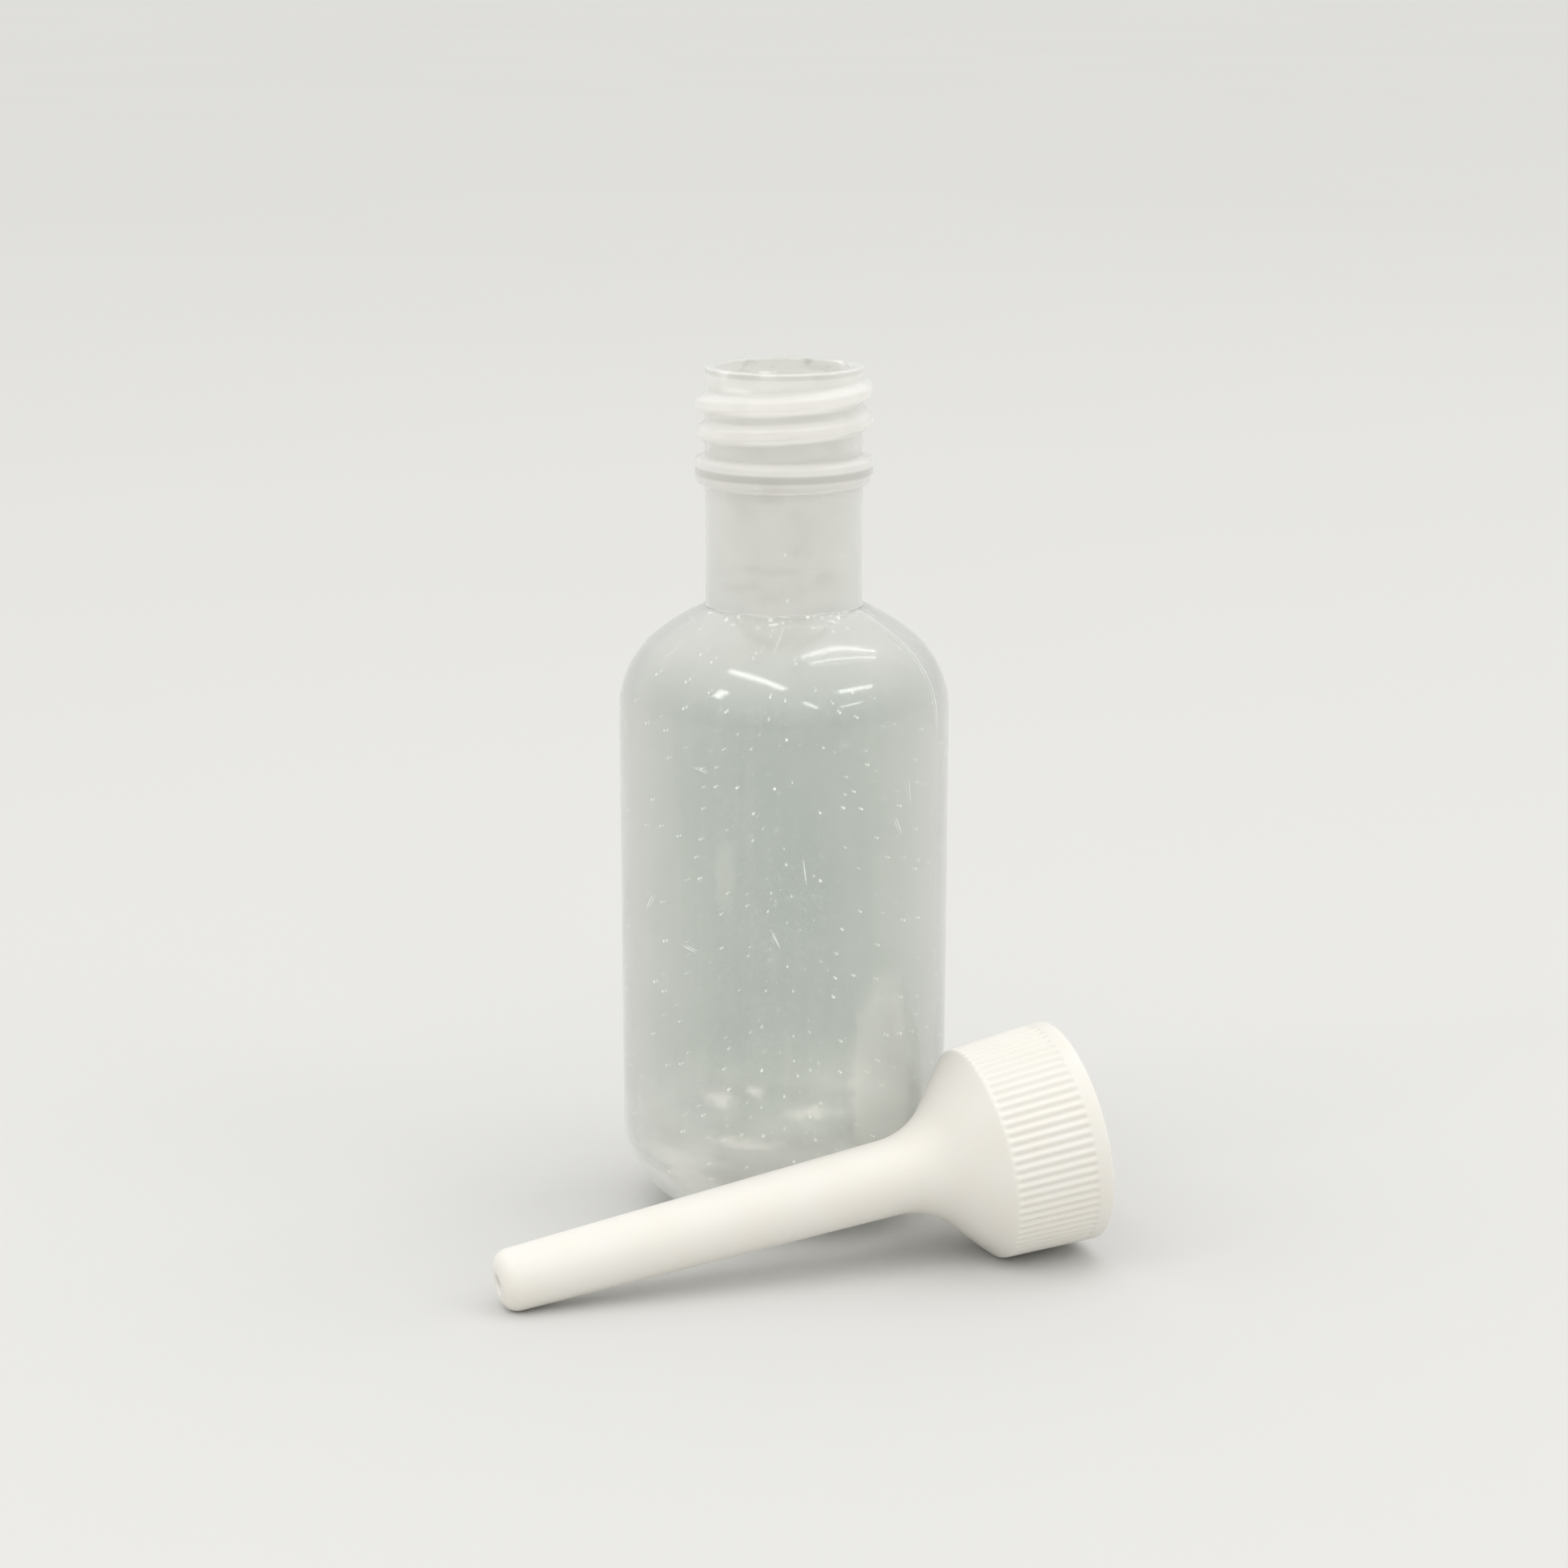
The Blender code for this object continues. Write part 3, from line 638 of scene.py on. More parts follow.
def lying_tilt(outline):
    """How much the axis rises when the turned piece lies on the longest straight edge of its hull."""

    def is_outermost(pair):
        (low_radius, low), (high_radius, high) = pair
        return high - low > SAME_POINT and all(
            (radius - low_radius) * (high - low) <= (high_radius - low_radius) * (height - low) + 1e-12
            for radius, height in outline
        )

    ordered = sorted(outline, key=lambda point: point[1])
    pairs = filter(is_outermost, itertools.combinations(ordered, 2))
    first, last = max(pairs, key=lambda pair: pair[1][1] - pair[0][1])
    return math.atan2(last[0] - first[0], last[1] - first[1])


def cap_stand(sizes, form):
    """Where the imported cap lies: on its tip and on its skirt, turned by its yaw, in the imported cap's box."""
    nozzle, edge, skirt, lip, _ = cap_outside(sizes, form)
    outline = nozzle + edge + skirt + lip
    turned = Euler((0, math.pi / 2 - lying_tilt(outline), sizes.yaw)).to_matrix()
    reach = []
    for radius, height in outline:
        for step in range(MEASURED_COLUMNS):
            turn = math.tau * step / MEASURED_COLUMNS
            reach.append(turned @ Vector((radius * math.cos(turn), radius * math.sin(turn), height)))
    low = [min(point[axis] for point in reach) for axis in range(3)]
    high = [max(point[axis] for point in reach) for axis in range(3)]
    packed_low, packed_high = CAP_BOX
    fit = min((packed_high[axis] - packed_low[axis]) / (high[axis] - low[axis]) for axis in range(3))
    fit = min(fit, 1) * INSIDE_THE_BOX
    middle = [packed_low[axis] + packed_high[axis] - fit * (low[axis] + high[axis]) for axis in range(2)]
    place = (middle[0] / 2, middle[1] / 2, packed_low.z - fit * low[2])
    return Matrix.Translation(place) @ turned.to_4x4() @ Matrix.Scale(fit, 4)


def make_cap_piece(settings):
    """The cap in one moulding: pierced tip, nozzle, trumpet flare, ribbed skirt and the thread inside."""
    sizes, thread = settings.cap, settings.thread
    form = CapForm(sizes, settings.bottle, thread)
    nozzle, edge, skirt, lip, (ribs_start, ribs_end) = cap_outside(sizes, form)
    inner_skirt, bore = cap_inside(sizes, form, thread)
    rib_columns = sizes.ribs * sizes.rib_facets
    coarse = rib_columns // 4
    fine = rib_columns // 2
    narrowing = (thread.root_share - thread.crest_share) * thread.clearance / thread.height
    crest_width = thread.pitch * (1 - (thread.root_share - narrowing)) - thread.clearance
    start_height = form.rim_seat + thread.cap_depth

    def grooved(turn, height):
        from_end = min(height - ribs_start, ribs_end - height) / sizes.rib_runout
        fade = math.sin(min(1, max(0, from_end)) * math.pi / 2) ** 2
        return -sizes.rib_depth * fade * ((1 + math.cos(sizes.ribs * turn)) / 2) ** 1.3

    def threaded(turn, height):
        return -ridge_rise(thread, turn, height, start_height, thread.cap_turns, 0, crest_width)

    mesh = bmesh.new()
    rings = [ring(mesh, point, coarse) for point in nozzle]
    rings += [ring(mesh, edge[0], fine)]
    rings += [ring(mesh, point, rib_columns, grooved) for point in edge[1:] + skirt]
    rings += [ring(mesh, point, fine) for point in lip]
    for point in inner_skirt:
        is_wall = abs(point[0] - form.bore) < SAME_POINT
        rings.append(ring(mesh, point, fine, threaded if is_wall else None))
    rings += [ring(mesh, point, coarse) for point in bore]
    bridge_round(mesh, rings)
    material = opaque_plastic("cap_moulded_plastic", settings.look.cap)
    stand = cap_stand(sizes, form)
    names = ("nozzle_cap", "nozzle_cap", "cap_plastic")
    return finish_piece("nozzle_cap_shell", mesh, [material], stand, *names)


def make_washer_piece(settings):
    """The flat foam washer on the ledge inside the cap."""
    sizes = settings.cap
    form = CapForm(sizes, settings.bottle, settings.thread)
    outer = form.bore - sizes.seat_gap
    inner = form.ledge_radius - sizes.washer_overhang
    low = form.ledge + sizes.seat_gap
    high = low + sizes.washer

    def corner(radius, height, quarter):
        """A rounded corner that starts so many quarter turns from straight out."""
        start = math.pi / 2 * quarter
        return arc((radius, height), sizes.washer_round, start, start + math.pi / 2, WASHER_ROUND_STEPS)

    near, far = inner + sizes.washer_round, outer - sizes.washer_round
    bottom, top = low + sizes.washer_round, high - sizes.washer_round
    outline = corner(far, bottom, -1) + corner(far, top, 0)
    outline += [(inner + (outer - inner) * part / 4, high) for part in (3, 2, 1)]
    outline += corner(near, top, 1) + corner(near, bottom, 2)
    mesh = bmesh.new()
    rings = [ring(mesh, point, WASHER_COLUMNS) for point in distinct(outline)]
    bridge_round(mesh, rings)
    material = foam("washer_foam_skin", settings.look.washer)
    stand = cap_stand(sizes, form)
    names = ("nozzle_cap", "sealing_washer", "washer_foam")
    return finish_piece("washer_ring", mesh, [material], stand, *names)


# Shader nodes


class Signal:
    """A node's output, which the usual signs join to numbers and to other outputs."""

    def __init__(self, tree, socket):
        self.tree = tree
        self.socket = socket

    def __add__(self, other):
        return self.tree.compute("ADD", self, other)

    def __sub__(self, other):
        return self.tree.compute("SUBTRACT", self, other)

    def __mul__(self, other):
        return self.tree.compute("MULTIPLY", self, other)

    def __truediv__(self, other):
        return self.tree.compute("DIVIDE", self, other)

    def ramp(self, from_low, from_high, to_low=0, to_high=1, kind="SMOOTHSTEP"):
        """Carries the value from one range to another, held inside it."""
        inputs = dict(enumerate((self, from_low, from_high, to_low, to_high)))
        return self.tree.out(self.tree.add("ShaderNodeMapRange", inputs, interpolation_type=kind))


class Tree:
    """Short ways to add and join the nodes of a material or a group."""

    def __init__(self, owner):
        self.nodes = owner.nodes
        self.links = owner.links

    def put(self, socket, value):
        """Links a signal to a socket, or sets the socket's own value."""
        if isinstance(value, Signal):
            self.links.new(value.socket, socket)
        else:
            socket.default_value = (*value, 1) if socket.type == "RGBA" else value

    def add(self, kind, inputs=None, **settings):
        """A new node with its settings, and its inputs filled by name or by number."""
        node = self.nodes.new(kind)
        for name, value in settings.items():
            setattr(node, name, value)
        for key, value in (inputs or {}).items():
            self.put(node.inputs[key], value)
        return node

    def out(self, node, name=0):
        return Signal(self, node.outputs[name])

    def compute(self, operation, *values):
        return self.out(self.add("ShaderNodeMath", dict(enumerate(values)), operation=operation))

    def most(self, *values):
        """The largest of several values."""
        return functools.reduce(lambda first, second: self.compute("MAXIMUM", first, second), values)

    def stretched(self, vector, factors):
        return self.out(self.add("ShaderNodeVectorMath", {0: vector, 1: factors}, operation="MULTIPLY"))

    def split(self, kind, whole):
        """The three parts of a colour or a vector."""
        return [Signal(self, socket) for socket in self.add(kind, {0: whole}).outputs]

    def mix(self, factor, first, second):
        """Blends two colours."""
        return self.out(self.add("ShaderNodeMix", {0: factor, 6: first, 7: second}, data_type="RGBA"), 2)

    def noise(self, vector, scale, detail=2):
        return self.out(self.add("ShaderNodeTexNoise", {"Vector": vector, "Scale": scale, "Detail": detail}))

    def own_place(self):
        """The point's place along its piece's own axis."""
        return self.out(self.add("ShaderNodeAttribute", attribute_name="own_place"), "Vector")

    def facing(self):
        """How much the surface turns away from view, for the painted sheen that makes a wall paler at its edge.
        """
        return self.out(self.add("ShaderNodeLayerWeight"), "Facing")

    def fill(self, node, **values):
        """Fills the inputs of a node, whose names are written with underscores."""
        for name, value in values.items():
            self.put(node.inputs[name.replace("_", " ")], value)

    def use(self, group, **values):
        """Places a group with its own values, and gives its outputs, or its only one."""
        node = self.add("ShaderNodeGroup", node_tree=group)
        self.fill(node, **{name.title(): value for name, value in values.items()})
        outputs = [Signal(self, socket) for socket in node.outputs]
        return outputs if len(outputs) > 1 else outputs[0]


def shader_group(name, inputs):
    """Makes a function that fills a node group into one that builds the group once, then gives it back.

    The function gets the group's inputs, and returns its outputs by name. An input is a number, or a vector
    where its default is None.
    """

    def wrap(fill):
        def built():
            if name in bpy.data.node_groups:
                return bpy.data.node_groups[name]
            group = bpy.data.node_groups.new(name, "ShaderNodeTree")
            for label, default in inputs.items():
                kind = "NodeSocketVector" if default is None else "NodeSocketFloat"
                socket = group.interface.new_socket(name=label, in_out="INPUT", socket_type=kind)
                if default is not None:
                    socket.default_value = default
            t = Tree(group)
            given = t.add("NodeGroupInput")
            made = fill(t, *(t.out(given, label) for label in inputs))
            for label in made:
                group.interface.new_socket(name=label, in_out="OUTPUT", socket_type="NodeSocketFloat")
            t.add("NodeGroupOutput", made)
            return group

        return built

    return wrap


@shader_group("Moulded Skin", {"Position": None, "Grain Scale": 2500, "Wave Scale": 90, "Grain Share": 0.3})
def moulded_skin(t, position, grain_scale, wave_scale, grain_share):
    """Group: the fine unevenness of a moulded surface, as a height and as a mottle."""
    wave = t.noise(position, wave_scale)
    grain = t.noise(position, grain_scale, detail=3)
    return {"Height": grain * grain_share + wave, "Mottle": wave.ramp(0.3, 0.7)}


@shader_group("Place on Round", {"Position": None})
def place_on_round(t, position):
    """Group: a point's angle from the front, its height and its distance from a turned piece's axis."""
    across, depth, height = t.split("ShaderNodeSeparateXYZ", position)
    from_axis = t.add("ShaderNodeVectorMath", {0: t.stretched(position, (1, 1, 0))}, operation="LENGTH")
    angle = t.compute("ARCTAN2", across, depth * -1)
    return {"Angle": angle, "Height": height, "Radius": t.out(from_axis, "Value")}


@shader_group(
    "Specks and Scratches",
    {
        "Angle": 0,
        "Height": 0,
        "Wrap Radius": 0.0189,
        "Speck Scale": 300,
        "Speck Size": 0.045,
        "Speck Share": 0.4,
        "Scratch Size": 0.02,
        "Scratch Share": 0.12,
    },
)
def specks_and_scratches(
    t, angle, height, wrap_radius, speck_scale, speck_size, speck_share, scratch_size, scratch_share
):
    """Group: sparse dust specks and short scratches on a turned piece, as two masks."""

    def dots(place, scale, size, share_kept):
        """Dots of varied size and strength in some cells of a pattern."""
        cells = t.add("ShaderNodeTexVoronoi", {"Vector": place, "Scale": scale}, voronoi_dimensions="2D")
        pick, varied, faint = t.split("ShaderNodeSeparateColor", t.out(cells, "Color"))
        radius = size * varied.ramp(0, 1, 0.4, 1, "LINEAR")
        near = (t.out(cells, "Distance") / radius).ramp(1, 0.5)
        return near * t.compute("LESS_THAN", pick, share_kept) * faint.ramp(0, 1, 0.35, 1, "LINEAR")

    place = t.out(t.add("ShaderNodeCombineXYZ", {"X": angle * wrap_radius, "Y": height}))
    large = dots(place, speck_scale, speck_size, speck_share)
    fine = dots(place, speck_scale * 2.3, speck_size, speck_share)
    lines = []
    for turn, stretch, scale in SCRATCHES:
        where = {"Location": (turn / 100, turn / 70, 0), "Rotation": (0, 0, turn), "Scale": (1, stretch, 1)}
        slanted = t.add("ShaderNodeMapping", {"Vector": place, **where}, vector_type="TEXTURE")
        lines.append(dots(t.out(slanted), scale, scratch_size, scratch_share))
    return {"Specks": t.most(large, fine * 0.6), "Scratches": t.most(*lines)}


@shader_group(
    "Soft Patch",
    {
        "Angle": 0,
        "Height": 0,
        "Patch Angle": 0,
        "Patch Height": 0,
        "Half Angle": 0.3,
        "Half Height": 0.01,
        "Softness": 0.3,
    },
)
def soft_patch(t, angle, height, patch_angle, patch_height, half_angle, half_height, softness):
    """Group: a soft-edged oval patch on a turned piece, as a mask."""

    def away(place, centre, half):
        return t.compute("POWER", t.compute("ABSOLUTE", (place - centre) / half), 2)

    reach = away(angle, patch_angle, half_angle) + away(height, patch_height, half_height)
    return {"Mask": t.compute("SQRT", reach).ramp(1, t.compute("SUBTRACT", 1, softness))}


@shader_group("Part Line", {"Angle": 0, "Radius": 0, "Seam Angle": 0, "Seam Width": 0.00012})
def part_line(t, angle, radius, seam_angle, seam_width):
    """Group: the two seams that a mould's halves leave on a turned piece, as a mask."""
    turned = t.compute("ABSOLUTE", t.compute("SINE", angle - seam_angle))
    return {"Mask": (turned * radius / seam_width).ramp(1, 0.3)}


# Materials


def new_material(name, **constants):
    """A material with one Principled shader, whose constants sit on its own sockets."""
    material = bpy.data.materials.new(name)
    material.use_nodes = True
    t = Tree(material.node_tree)
    shader = t.nodes["Principled BSDF"]
    t.fill(shader, **constants)
    return material, t, shader


def bump(t, shader, height, strength, distance=0.0002):
    """Raises the surface, and the gloss on it, by a height map."""
    raised = t.add("ShaderNodeBump", {"Height": height, "Strength": strength, "Distance": distance})
    t.fill(shader, Normal=t.out(raised), Coat_Normal=t.out(raised))


def cloudy_polyethylene(name, clearness):
    """The start of both bottle materials: glossy, partly clear and partly milky, with the strength of their
    painted glow.
    """
    return new_material(
        name,
        Transmission_Weight=clearness,
        IOR=1.5,
        Coat_Weight=0.7,
        Coat_Roughness=0.08,
        Coat_IOR=1.45,
        Sheen_Weight=0.2,
        Sheen_Roughness=0.7,
        # Strength of the painted glow that the bottle materials put on marks, reflections and milky parts.
        Emission_Strength=0.3,
    )


def haze_and_reflection_mask(t, position, angle, height, sizes):
    """The wall's hazy patches and its painted reflections of the cap and low in the wall, in one mask with
    ragged edges.
    """
    uneven = t.add("ShaderNodeTexNoise", {"Vector": position, "Scale": 650, "Detail": 3})
    ragged = t.split("ShaderNodeSeparateColor", t.out(uneven, "Color"))
    place = {"angle": (ragged[0] - 0.5) * 0.13 + angle, "height": (ragged[1] - 0.5) * 0.002 + height}
    haze_and_reflections = []
    for patch_angle, patch_height, half_angle, half_height, softness, strength in HAZE_AND_REFLECTION_PATCHES:
        patch = t.use(
            soft_patch(), **place, patch_angle=math.radians(patch_angle),
            patch_height=patch_height * sizes.height, half_angle=math.radians(half_angle),
            half_height=half_height * sizes.height, softness=softness,
        )
        haze_and_reflections.append(patch * strength)
    return t.most(*haze_and_reflections)


def moulded_surface(t, skin, marks):
    """What the moulded materials start from: place, place on the round, skin, and specks and scratches."""
    position = t.own_place()
    on_round = t.use(place_on_round(), position=position)
    skin = t.use(moulded_skin(), position=position, **skin)
    marks = t.use(specks_and_scratches(), angle=on_round[0], height=on_round[1], **marks)
    return position, on_round, skin, marks


def blown_wall(name, look, sizes, clearness):
    """The body's thin wall: clear, cloudy at foot and shoulder, dusty, a little scratched, and seamed; with
    painted reflections of the cap and low in the wall, a painted sheen where it is seen edge-on, painted glints
    at the crease, and a painted glow on the reflections, the milky foot and the marks.
    """
    material, t, shader = cloudy_polyethylene(name, clearness)
    position, (angle, height, radius), (skin, mottle), (specks, scratches) = moulded_surface(
        t,
        {"grain_scale": 2600, "wave_scale": 60, "grain_share": 0.06},
        {
            "wrap_radius": sizes.radius,
            "speck_scale": 370,
            "speck_size": 0.075,
            "speck_share": 0.75,
            "scratch_size": 0.03,
            "scratch_share": 0.22,
        },
    )
    seam = t.use(part_line(), angle=angle, radius=radius, seam_angle=look.seam_angle, seam_width=0.0002)
    crease = sizes.height - sizes.neck_length
    shoulder_round = sizes.shoulder_radius

    # Cloudy haze, and the painted reflections of the cap and low in the wall.
    haze_and_reflections = haze_and_reflection_mask(t, position, angle, height, sizes)
    foot = height.ramp(sizes.heel_radius * 1.6, sizes.heel_radius * 0.6)
    shoulder = height.ramp(crease - shoulder_round * 1.1, crease - shoulder_round * 0.2)
    # Painted sheen: the wall is painted paler where it is seen edge-on.
    painted_edge_sheen = t.facing().ramp(0.03, 0.6, 0, 0.8, "LINEAR")
    drawn = t.noise(t.stretched(position, (1, 1, 0.06)), 900).ramp(0.45, 0.7)
    # Real haze of foot, shoulder, streaks and mottle, mixed with the painted reflections and the painted edge
    # sheen.
    cloud_and_painted_light = t.most(haze_and_reflections, foot * 0.9, shoulder * 0.85, painted_edge_sheen)
    cloud_and_painted_light = mottle * 0.16 + (drawn * 0.12 + cloud_and_painted_light)
    tint = t.mix(cloud_and_painted_light, look.body, look.haze_and_painted_light)

    # Painted glints: white flecks along the fold at the crease stand in for highlights.
    fold = height.ramp(crease - sizes.crease * 5, crease - sizes.crease)
    painted_fold_glints = t.noise(position, 900, detail=3).ramp(0.58, 0.66) * fold
    seam_strength = height.ramp(crease - shoulder_round * 1.3, crease - shoulder_round, 0.08, 0.6)
    # Real specks, scratches and seam, with the painted fold glints.
    marks = t.most(specks, scratches * 0.8, painted_fold_glints * 0.9, seam * seam_strength)

    # Painted glow: the strongest painted reflections glow, and the milky foot glows in banks, though neither is
    # a lamp.
    foot_glow_banks = t.noise(t.stretched(position, (1, 1, 3)), 130, detail=3)
    painted_glow = haze_and_reflections.ramp(0.65, 1) * 0.09 + foot * foot_glow_banks.ramp(0.4, 0.62, 0.04, 0.17)
    painted_light = t.mix(painted_glow, BLACK, look.haze_and_painted_light)
    # The marks whiten the base colour, and the emission paints a glow on them as well.
    t.fill(
        shader,
        Base_Color=t.mix(marks, tint, look.specks_and_glints),
        Emission_Color=t.mix(marks * 0.85, painted_light, look.specks_and_glints),
        Roughness=cloud_and_painted_light.ramp(0, 1, look.body_roughness, 0.16, "LINEAR"),
    )
    bump(t, shader, marks * 0.6 + skin, strength=0.15)
    return material


def moulded_neck(name, look, sizes):
    """The neck's thicker wall: milky, and whiter in the solid thread and bead; painted shade greys the bead's
    face, the rim's top and a band under the lip, and the bore has grey streaks; with a painted sheen at its
    edges, painted glints inside the mouth, and a painted glow on the ridges, the edges and the lip.
    """
    material, t, shader = cloudy_polyethylene(name, look.neck_clearness)
    position, (_, height, radius), (skin, mottle), (specks, scratches) = moulded_surface(
        t,
        {"grain_scale": 1800, "wave_scale": 110, "grain_share": 0.1},
        {
            "wrap_radius": sizes.neck_radius,
            "speck_scale": 300,
            "speck_size": 0.06,
            "speck_share": 0.15,
            "scratch_size": 0.02,
            "scratch_share": 0.03,
        },
    )
    wall, rim, bead_top = sizes.neck_radius, sizes.height, sizes.height - sizes.bead_depth
    bead, proud, lip, bevel = sizes.bead_height, sizes.bead_proud, sizes.rim_round, sizes.rim_bevel

    solid = radius.ramp(wall + 0.00005, wall + proud * 0.5)
    # Painted sheen: the neck is painted paler where it is seen edge-on, and glows there further down.
    facing = t.facing().ramp(0.05, 0.75, kind="LINEAR")
    colour = t.mix(t.most(mottle * 0.3, facing), look.neck, look.haze_and_painted_light)
    colour = t.mix(solid, colour, look.ridge_and_glow)

    # Painted shade: greyer where the thick neck is seen through, on the bead's face, the rim's top and a band
    # under the lip; the bore also gets grey streaks.
    under_bead_top = height.ramp(bead_top - bead * 0.32, bead_top - bead * 0.42)
    over_bead_round = height.ramp(bead_top - bead * 0.68, bead_top - bead * 0.58)
    bead_face = radius.ramp(wall + proud * 0.85, wall + proud * 0.97) * (under_bead_top * over_bead_round)
    rim_top = radius.ramp(wall - lip * 0.4, wall - lip) * height.ramp(rim - bevel * 0.5, rim - bevel * 0.1)
    outer_wall = radius.ramp(wall - lip, wall - lip * 0.4)
    under_lip = height.ramp(rim - bevel * 2.2, rim - bevel * 1.4)
    under_lip = under_lip * height.ramp(rim - lip * 0.6, rim - lip * 1.4)
    inner_wall = radius.ramp(wall - sizes.neck_wall * 0.6, wall - sizes.neck_wall)
    streaks = t.noise(t.stretched(position, (1, 1, 2.5)), 260, detail=3)
    streaked = inner_wall * streaks.ramp(0.5, 0.35)
    for greyer in (bead_face, rim_top, under_lip * outer_wall * 0.8, streaked):
        colour = t.mix(greyer, colour, look.see_through_grey)

    # Painted glints inside the mouth, and a painted glow on the solid thread and bead above the bead's face, on
    # the edges seen edge-on and on the front of the lip.
    mouth = height.ramp(rim - sizes.neck_wall * 2.5, rim - sizes.neck_wall)
    marks = t.most(specks, scratches * 0.7, inner_wall * mouth * streaks.ramp(0.6, 0.68))
    over_stripe = height.ramp(bead_top - bead * 0.5, bead_top - bead * 0.3)
    painted_light = t.most(solid * over_stripe, facing * 0.6, mouth * outer_wall * 0.7)
    painted_glow = t.mix(painted_light * 0.29, BLACK, look.ridge_and_glow)
    t.fill(
        shader,
        Base_Color=t.mix(marks, colour, look.specks_and_glints),
        Emission_Color=t.mix(marks, painted_glow, look.specks_and_glints),
        Roughness=mottle.ramp(0, 1, look.neck_roughness, 0.35, "LINEAR"),
    )
    bump(t, shader, marks * 0.6 + skin, strength=0.15)
    return material


def darker(colour, *shades):
    """A colour with each of its parts multiplied by a shade."""
    return tuple(part * shade for part, shade in zip(colour, shades))


def opaque_plastic(name, colour):
    """Warm white moulded polyethylene with a soft gloss."""
    material, t, shader = new_material(
        name,
        IOR=1.5,
        Coat_Weight=0.15,
        Coat_Roughness=0.22,
        Subsurface_Weight=0.25,
        Subsurface_Scale=0.0009,
        Subsurface_Radius=(1, 0.9, 0.75),
    )
    _, _, (skin, mottle), (_, scratches) = moulded_surface(
        t,
        {"grain_scale": 2600, "wave_scale": 120, "grain_share": 0.25},
        {"wrap_radius": 0.006, "speck_share": 0.1, "scratch_size": 0.02, "scratch_share": 0.05},
    )
    warmer = darker(colour, 0.985, 0.975, 0.955)
    t.fill(shader, Base_Color=t.mix(mottle, colour, warmer), Roughness=mottle.ramp(0, 1, 0.40, 0.48))
    bump(t, shader, scratches * -0.3 + skin, strength=0.12)
    return material


def foam(name, colour):
    """Fine closed-cell foam."""
    material, t, shader = new_material(name, IOR=1.4)
    position = t.own_place()
    cells = t.out(t.add("ShaderNodeTexVoronoi", {"Vector": position, "Scale": 4500}), "Distance")
    fine = {"grain_scale": 3000, "wave_scale": 200, "grain_share": 0.5}
    skin, mottle = t.use(moulded_skin(), position=position, **fine)
    t.fill(
        shader,
        Base_Color=t.mix(cells, colour, darker(colour, 0.9, 0.9, 0.9)),
        Roughness=mottle.ramp(0, 1, 0.7, 0.85),
    )
    bump(t, shader, cells + skin, strength=0.4, distance=0.0001)
    return material


def floor_paper(name, colour):
    """Pale studio paper."""
    material, t, shader = new_material(name, IOR=1.3)
    position = t.out(t.add("ShaderNodeTexCoord"), "Object")
    skin, mottle = t.use(moulded_skin(), position=position, grain_scale=900, wave_scale=4, grain_share=0.5)
    t.fill(
        shader,
        Base_Color=t.mix(mottle, colour, darker(colour, 0.995, 0.995, 0.995)),
        Roughness=mottle.ramp(0, 1, 0.75, 0.85),
    )
    bump(t, shader, skin, strength=0.05)
    return material


# Stage


def make_floor(settings):
    """A wide level sheet of paper under the pieces."""
    mesh = bmesh.new()
    bmesh.ops.create_grid(mesh, x_segments=FLOOR_CELLS, y_segments=FLOOR_CELLS, size=FLOOR_REACH)
    data = bpy.data.meshes.new("studio_floor")
    mesh.to_mesh(data)
    mesh.free()
    data.materials.append(floor_paper("floor_paper", settings.stage.floor))
    floor = new_object("studio_floor", data)
    floor.location.z = PACKED_BOX[0].z


def add_tube(name, across, depth, turn, tube_length, tube_width, settings):
    """A fluorescent tube on the ceiling, shining down."""
    lamp = bpy.data.lights.new(name, "AREA")
    lamp.shape = "RECTANGLE"
    lamp.size = tube_length
    lamp.size_y = tube_width
    lamp.energy = settings.stage.tube * tube_length * tube_width
    item = new_object(name, lamp)
    item.location = (across, depth, PACKED_BOX[0].z + settings.stage.ceiling)
    item.rotation_euler = (0, 0, turn)


def add_camera(settings):
    """The photograph's own view."""
    stage = settings.stage
    data = bpy.data.cameras.new("photo_camera")
    data.sensor_width = 36
    data.lens = data.sensor_width * stage.focal_pixels / PHOTO_SIDE
    data.shift_y = (stage.centre_row - PHOTO_SIDE / 2) / PHOTO_SIDE
    data.clip_start = 0.01
    camera = new_object("photo_camera", data)
    axis = bottle_stand().translation
    camera.location = (axis.x, axis.y - stage.distance, axis.z + stage.camera_height)
    camera.rotation_euler = (math.pi / 2 - stage.pitch, 0, 0)
    bpy.context.scene.camera = camera


def light_sky(settings):
    """Soft light from all round, stronger from above."""
    stage = settings.stage
    world = bpy.data.worlds.new("studio_surroundings")
    world.use_nodes = True
    t = Tree(world.node_tree)
    background = t.nodes["Background"]
    around = t.out(t.add("ShaderNodeTexCoord"), "Generated")
    upward = t.split("ShaderNodeSeparateXYZ", around)[2]
    t.fill(background, Color=stage.sky, Strength=upward.ramp(0, 0.8, stage.sky_low, stage.sky_high))
    bpy.context.scene.world = world


# Operators


class SQUEEZE_BOTTLE_OT_make_bottle(bpy.types.Operator):
    """Make the translucent bottle with its threaded neck"""

    bl_idname = "squeeze_bottle.make_bottle"
    bl_label = "Make Bottle"
    bl_options = {"REGISTER", "UNDO"}

    def execute(self, context):
        make_bottle_piece(context.scene.squeeze_bottle)
        return {"FINISHED"}


class SQUEEZE_BOTTLE_OT_make_cap(bpy.types.Operator):
    """Make the ribbed nozzle cap"""

    bl_idname = "squeeze_bottle.make_cap"
    bl_label = "Make Nozzle Cap"
    bl_options = {"REGISTER", "UNDO"}

    def execute(self, context):
        make_cap_piece(context.scene.squeeze_bottle)
        return {"FINISHED"}


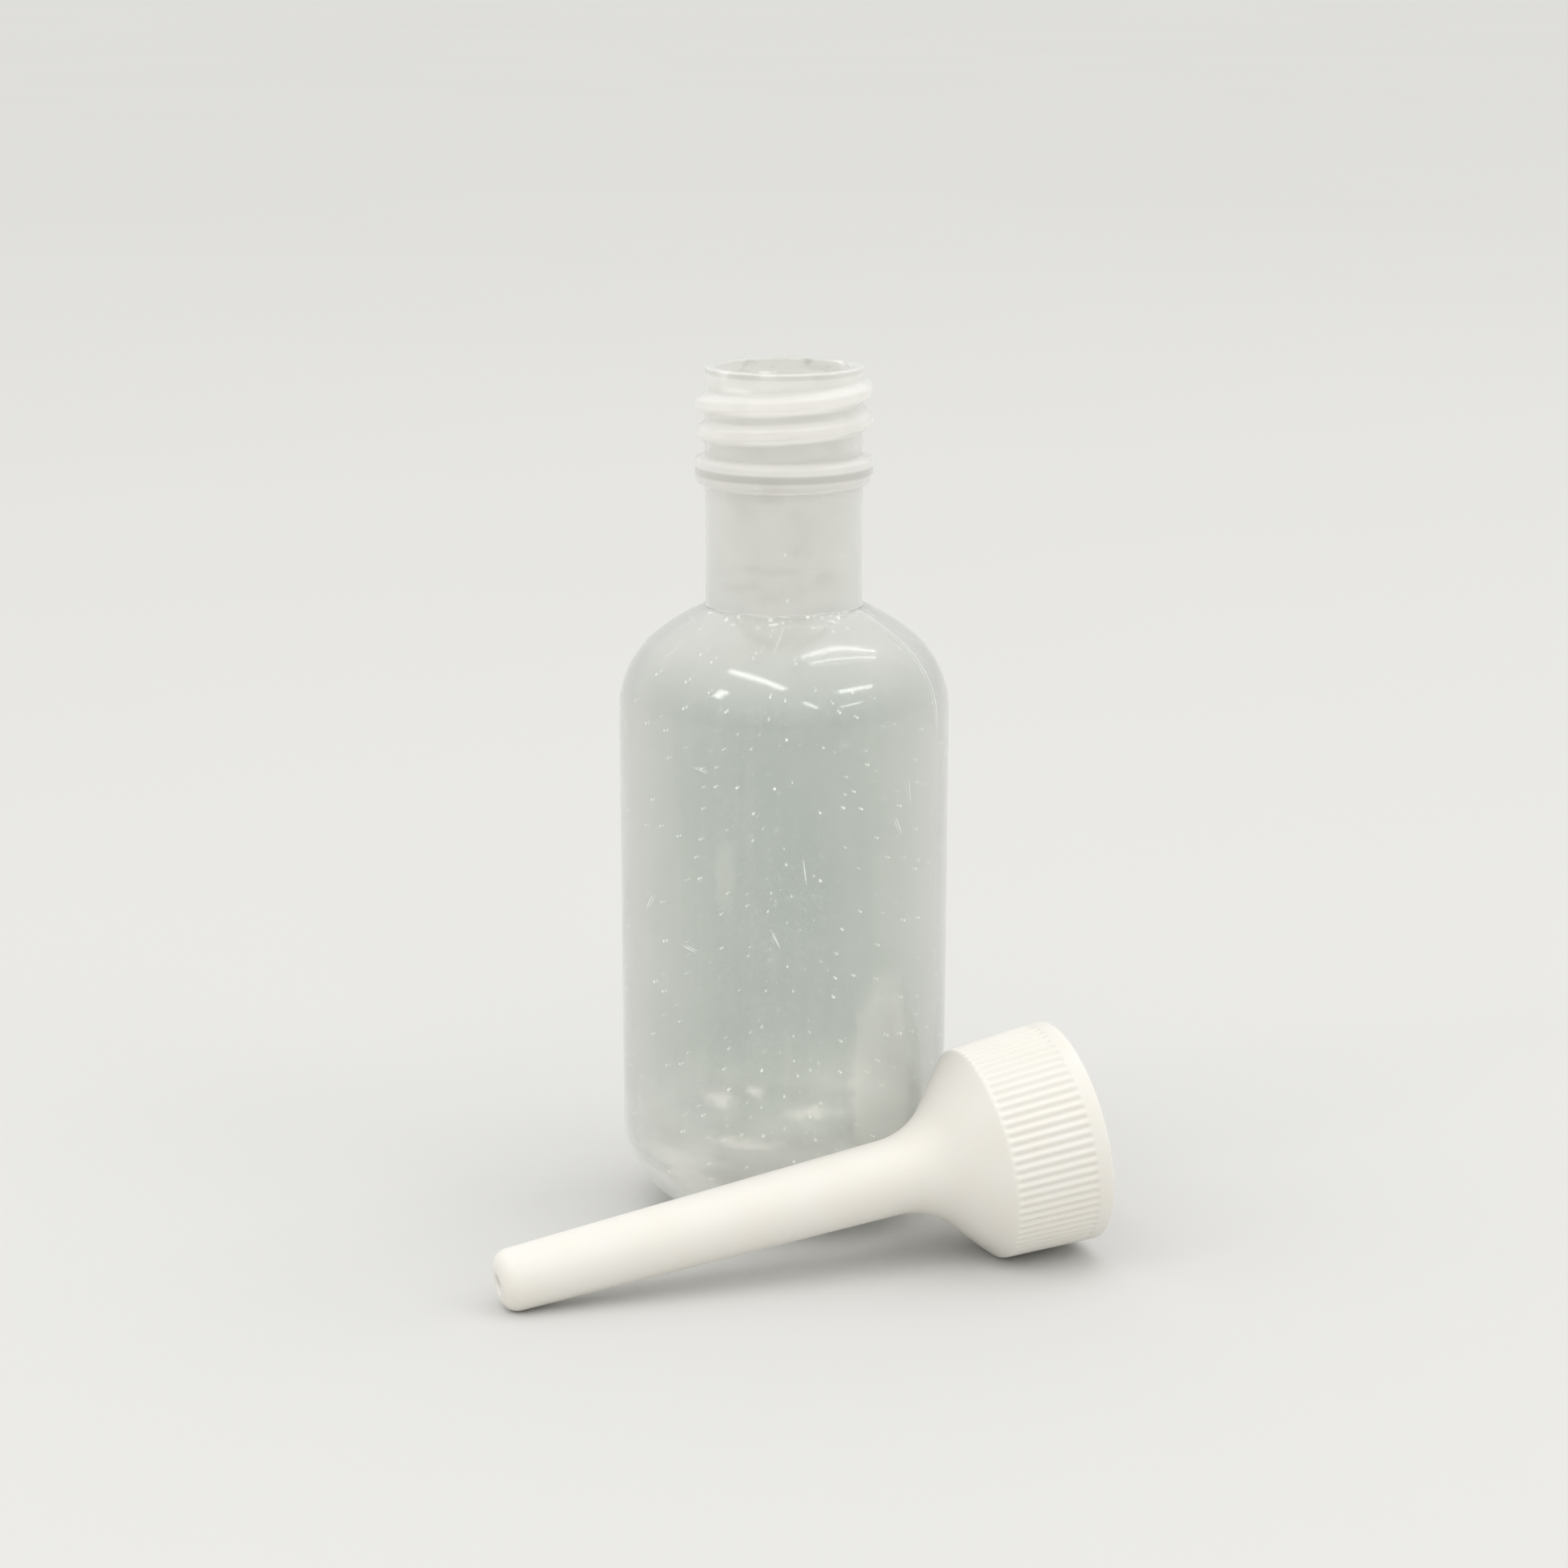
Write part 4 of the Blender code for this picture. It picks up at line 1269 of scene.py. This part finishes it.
class SQUEEZE_BOTTLE_OT_make_washer(bpy.types.Operator):
    """Make the sealing washer inside the cap"""

    bl_idname = "squeeze_bottle.make_washer"
    bl_label = "Make Sealing Washer"
    bl_options = {"REGISTER", "UNDO"}

    def execute(self, context):
        make_washer_piece(context.scene.squeeze_bottle)
        return {"FINISHED"}


class SQUEEZE_BOTTLE_OT_set_stage(bpy.types.Operator):
    """Set the floor, the lamps and the camera"""

    bl_idname = "squeeze_bottle.set_stage"
    bl_label = "Set Stage"
    bl_options = {"REGISTER", "UNDO"}

    def execute(self, context):
        settings = context.scene.squeeze_bottle
        context.scene.view_settings.view_transform = "Standard"
        make_floor(settings)
        light_sky(settings)
        add_camera(settings)
        for tube in TUBES:
            add_tube(*tube, settings)
        return {"FINISHED"}


class SQUEEZE_BOTTLE_PT_panel(bpy.types.Panel):
    """Sizes, colours and the buttons that make the pieces"""

    bl_idname = "SQUEEZE_BOTTLE_PT_panel"
    bl_label = "Squeeze Bottle"
    bl_space_type = "VIEW_3D"
    bl_region_type = "UI"
    bl_category = "Squeeze Bottle"

    def draw(self, context):
        layout = self.layout
        settings = context.scene.squeeze_bottle
        for maker in MAKERS:
            layout.operator(maker.bl_idname)
        for group_name in ("bottle", "thread", "cap", "look", "stage"):
            box = layout.box()
            box.label(text=group_name.title())
            sizes = getattr(settings, group_name)
            for name in sizes.__annotations__:
                box.prop(sizes, name)


class SqueezeBottleSettings(bpy.types.PropertyGroup):
    """All sizes, colours and stage settings."""

    bottle: PointerProperty(type=BottleSizes)
    thread: PointerProperty(type=ThreadSizes)
    cap: PointerProperty(type=CapSizes)
    look: PointerProperty(type=PlasticLook)
    stage: PointerProperty(type=StageSettings)


MAKERS = (
    SQUEEZE_BOTTLE_OT_make_bottle,
    SQUEEZE_BOTTLE_OT_make_cap,
    SQUEEZE_BOTTLE_OT_make_washer,
    SQUEEZE_BOTTLE_OT_set_stage,
)
CLASSES = (
    ThreadSizes,
    BottleSizes,
    CapSizes,
    PlasticLook,
    StageSettings,
    SqueezeBottleSettings,
    *MAKERS,
    SQUEEZE_BOTTLE_PT_panel,
)


def register():
    for item in CLASSES:
        bpy.utils.register_class(item)
    bpy.types.Scene.squeeze_bottle = PointerProperty(type=SqueezeBottleSettings)


def unregister():
    del bpy.types.Scene.squeeze_bottle
    for item in reversed(CLASSES):
        bpy.utils.unregister_class(item)


def main():
    register()
    bpy.ops.squeeze_bottle.set_stage()
    bpy.ops.squeeze_bottle.make_bottle()
    bpy.ops.squeeze_bottle.make_cap()
    bpy.ops.squeeze_bottle.make_washer()


if __name__ == "__main__":
    main()
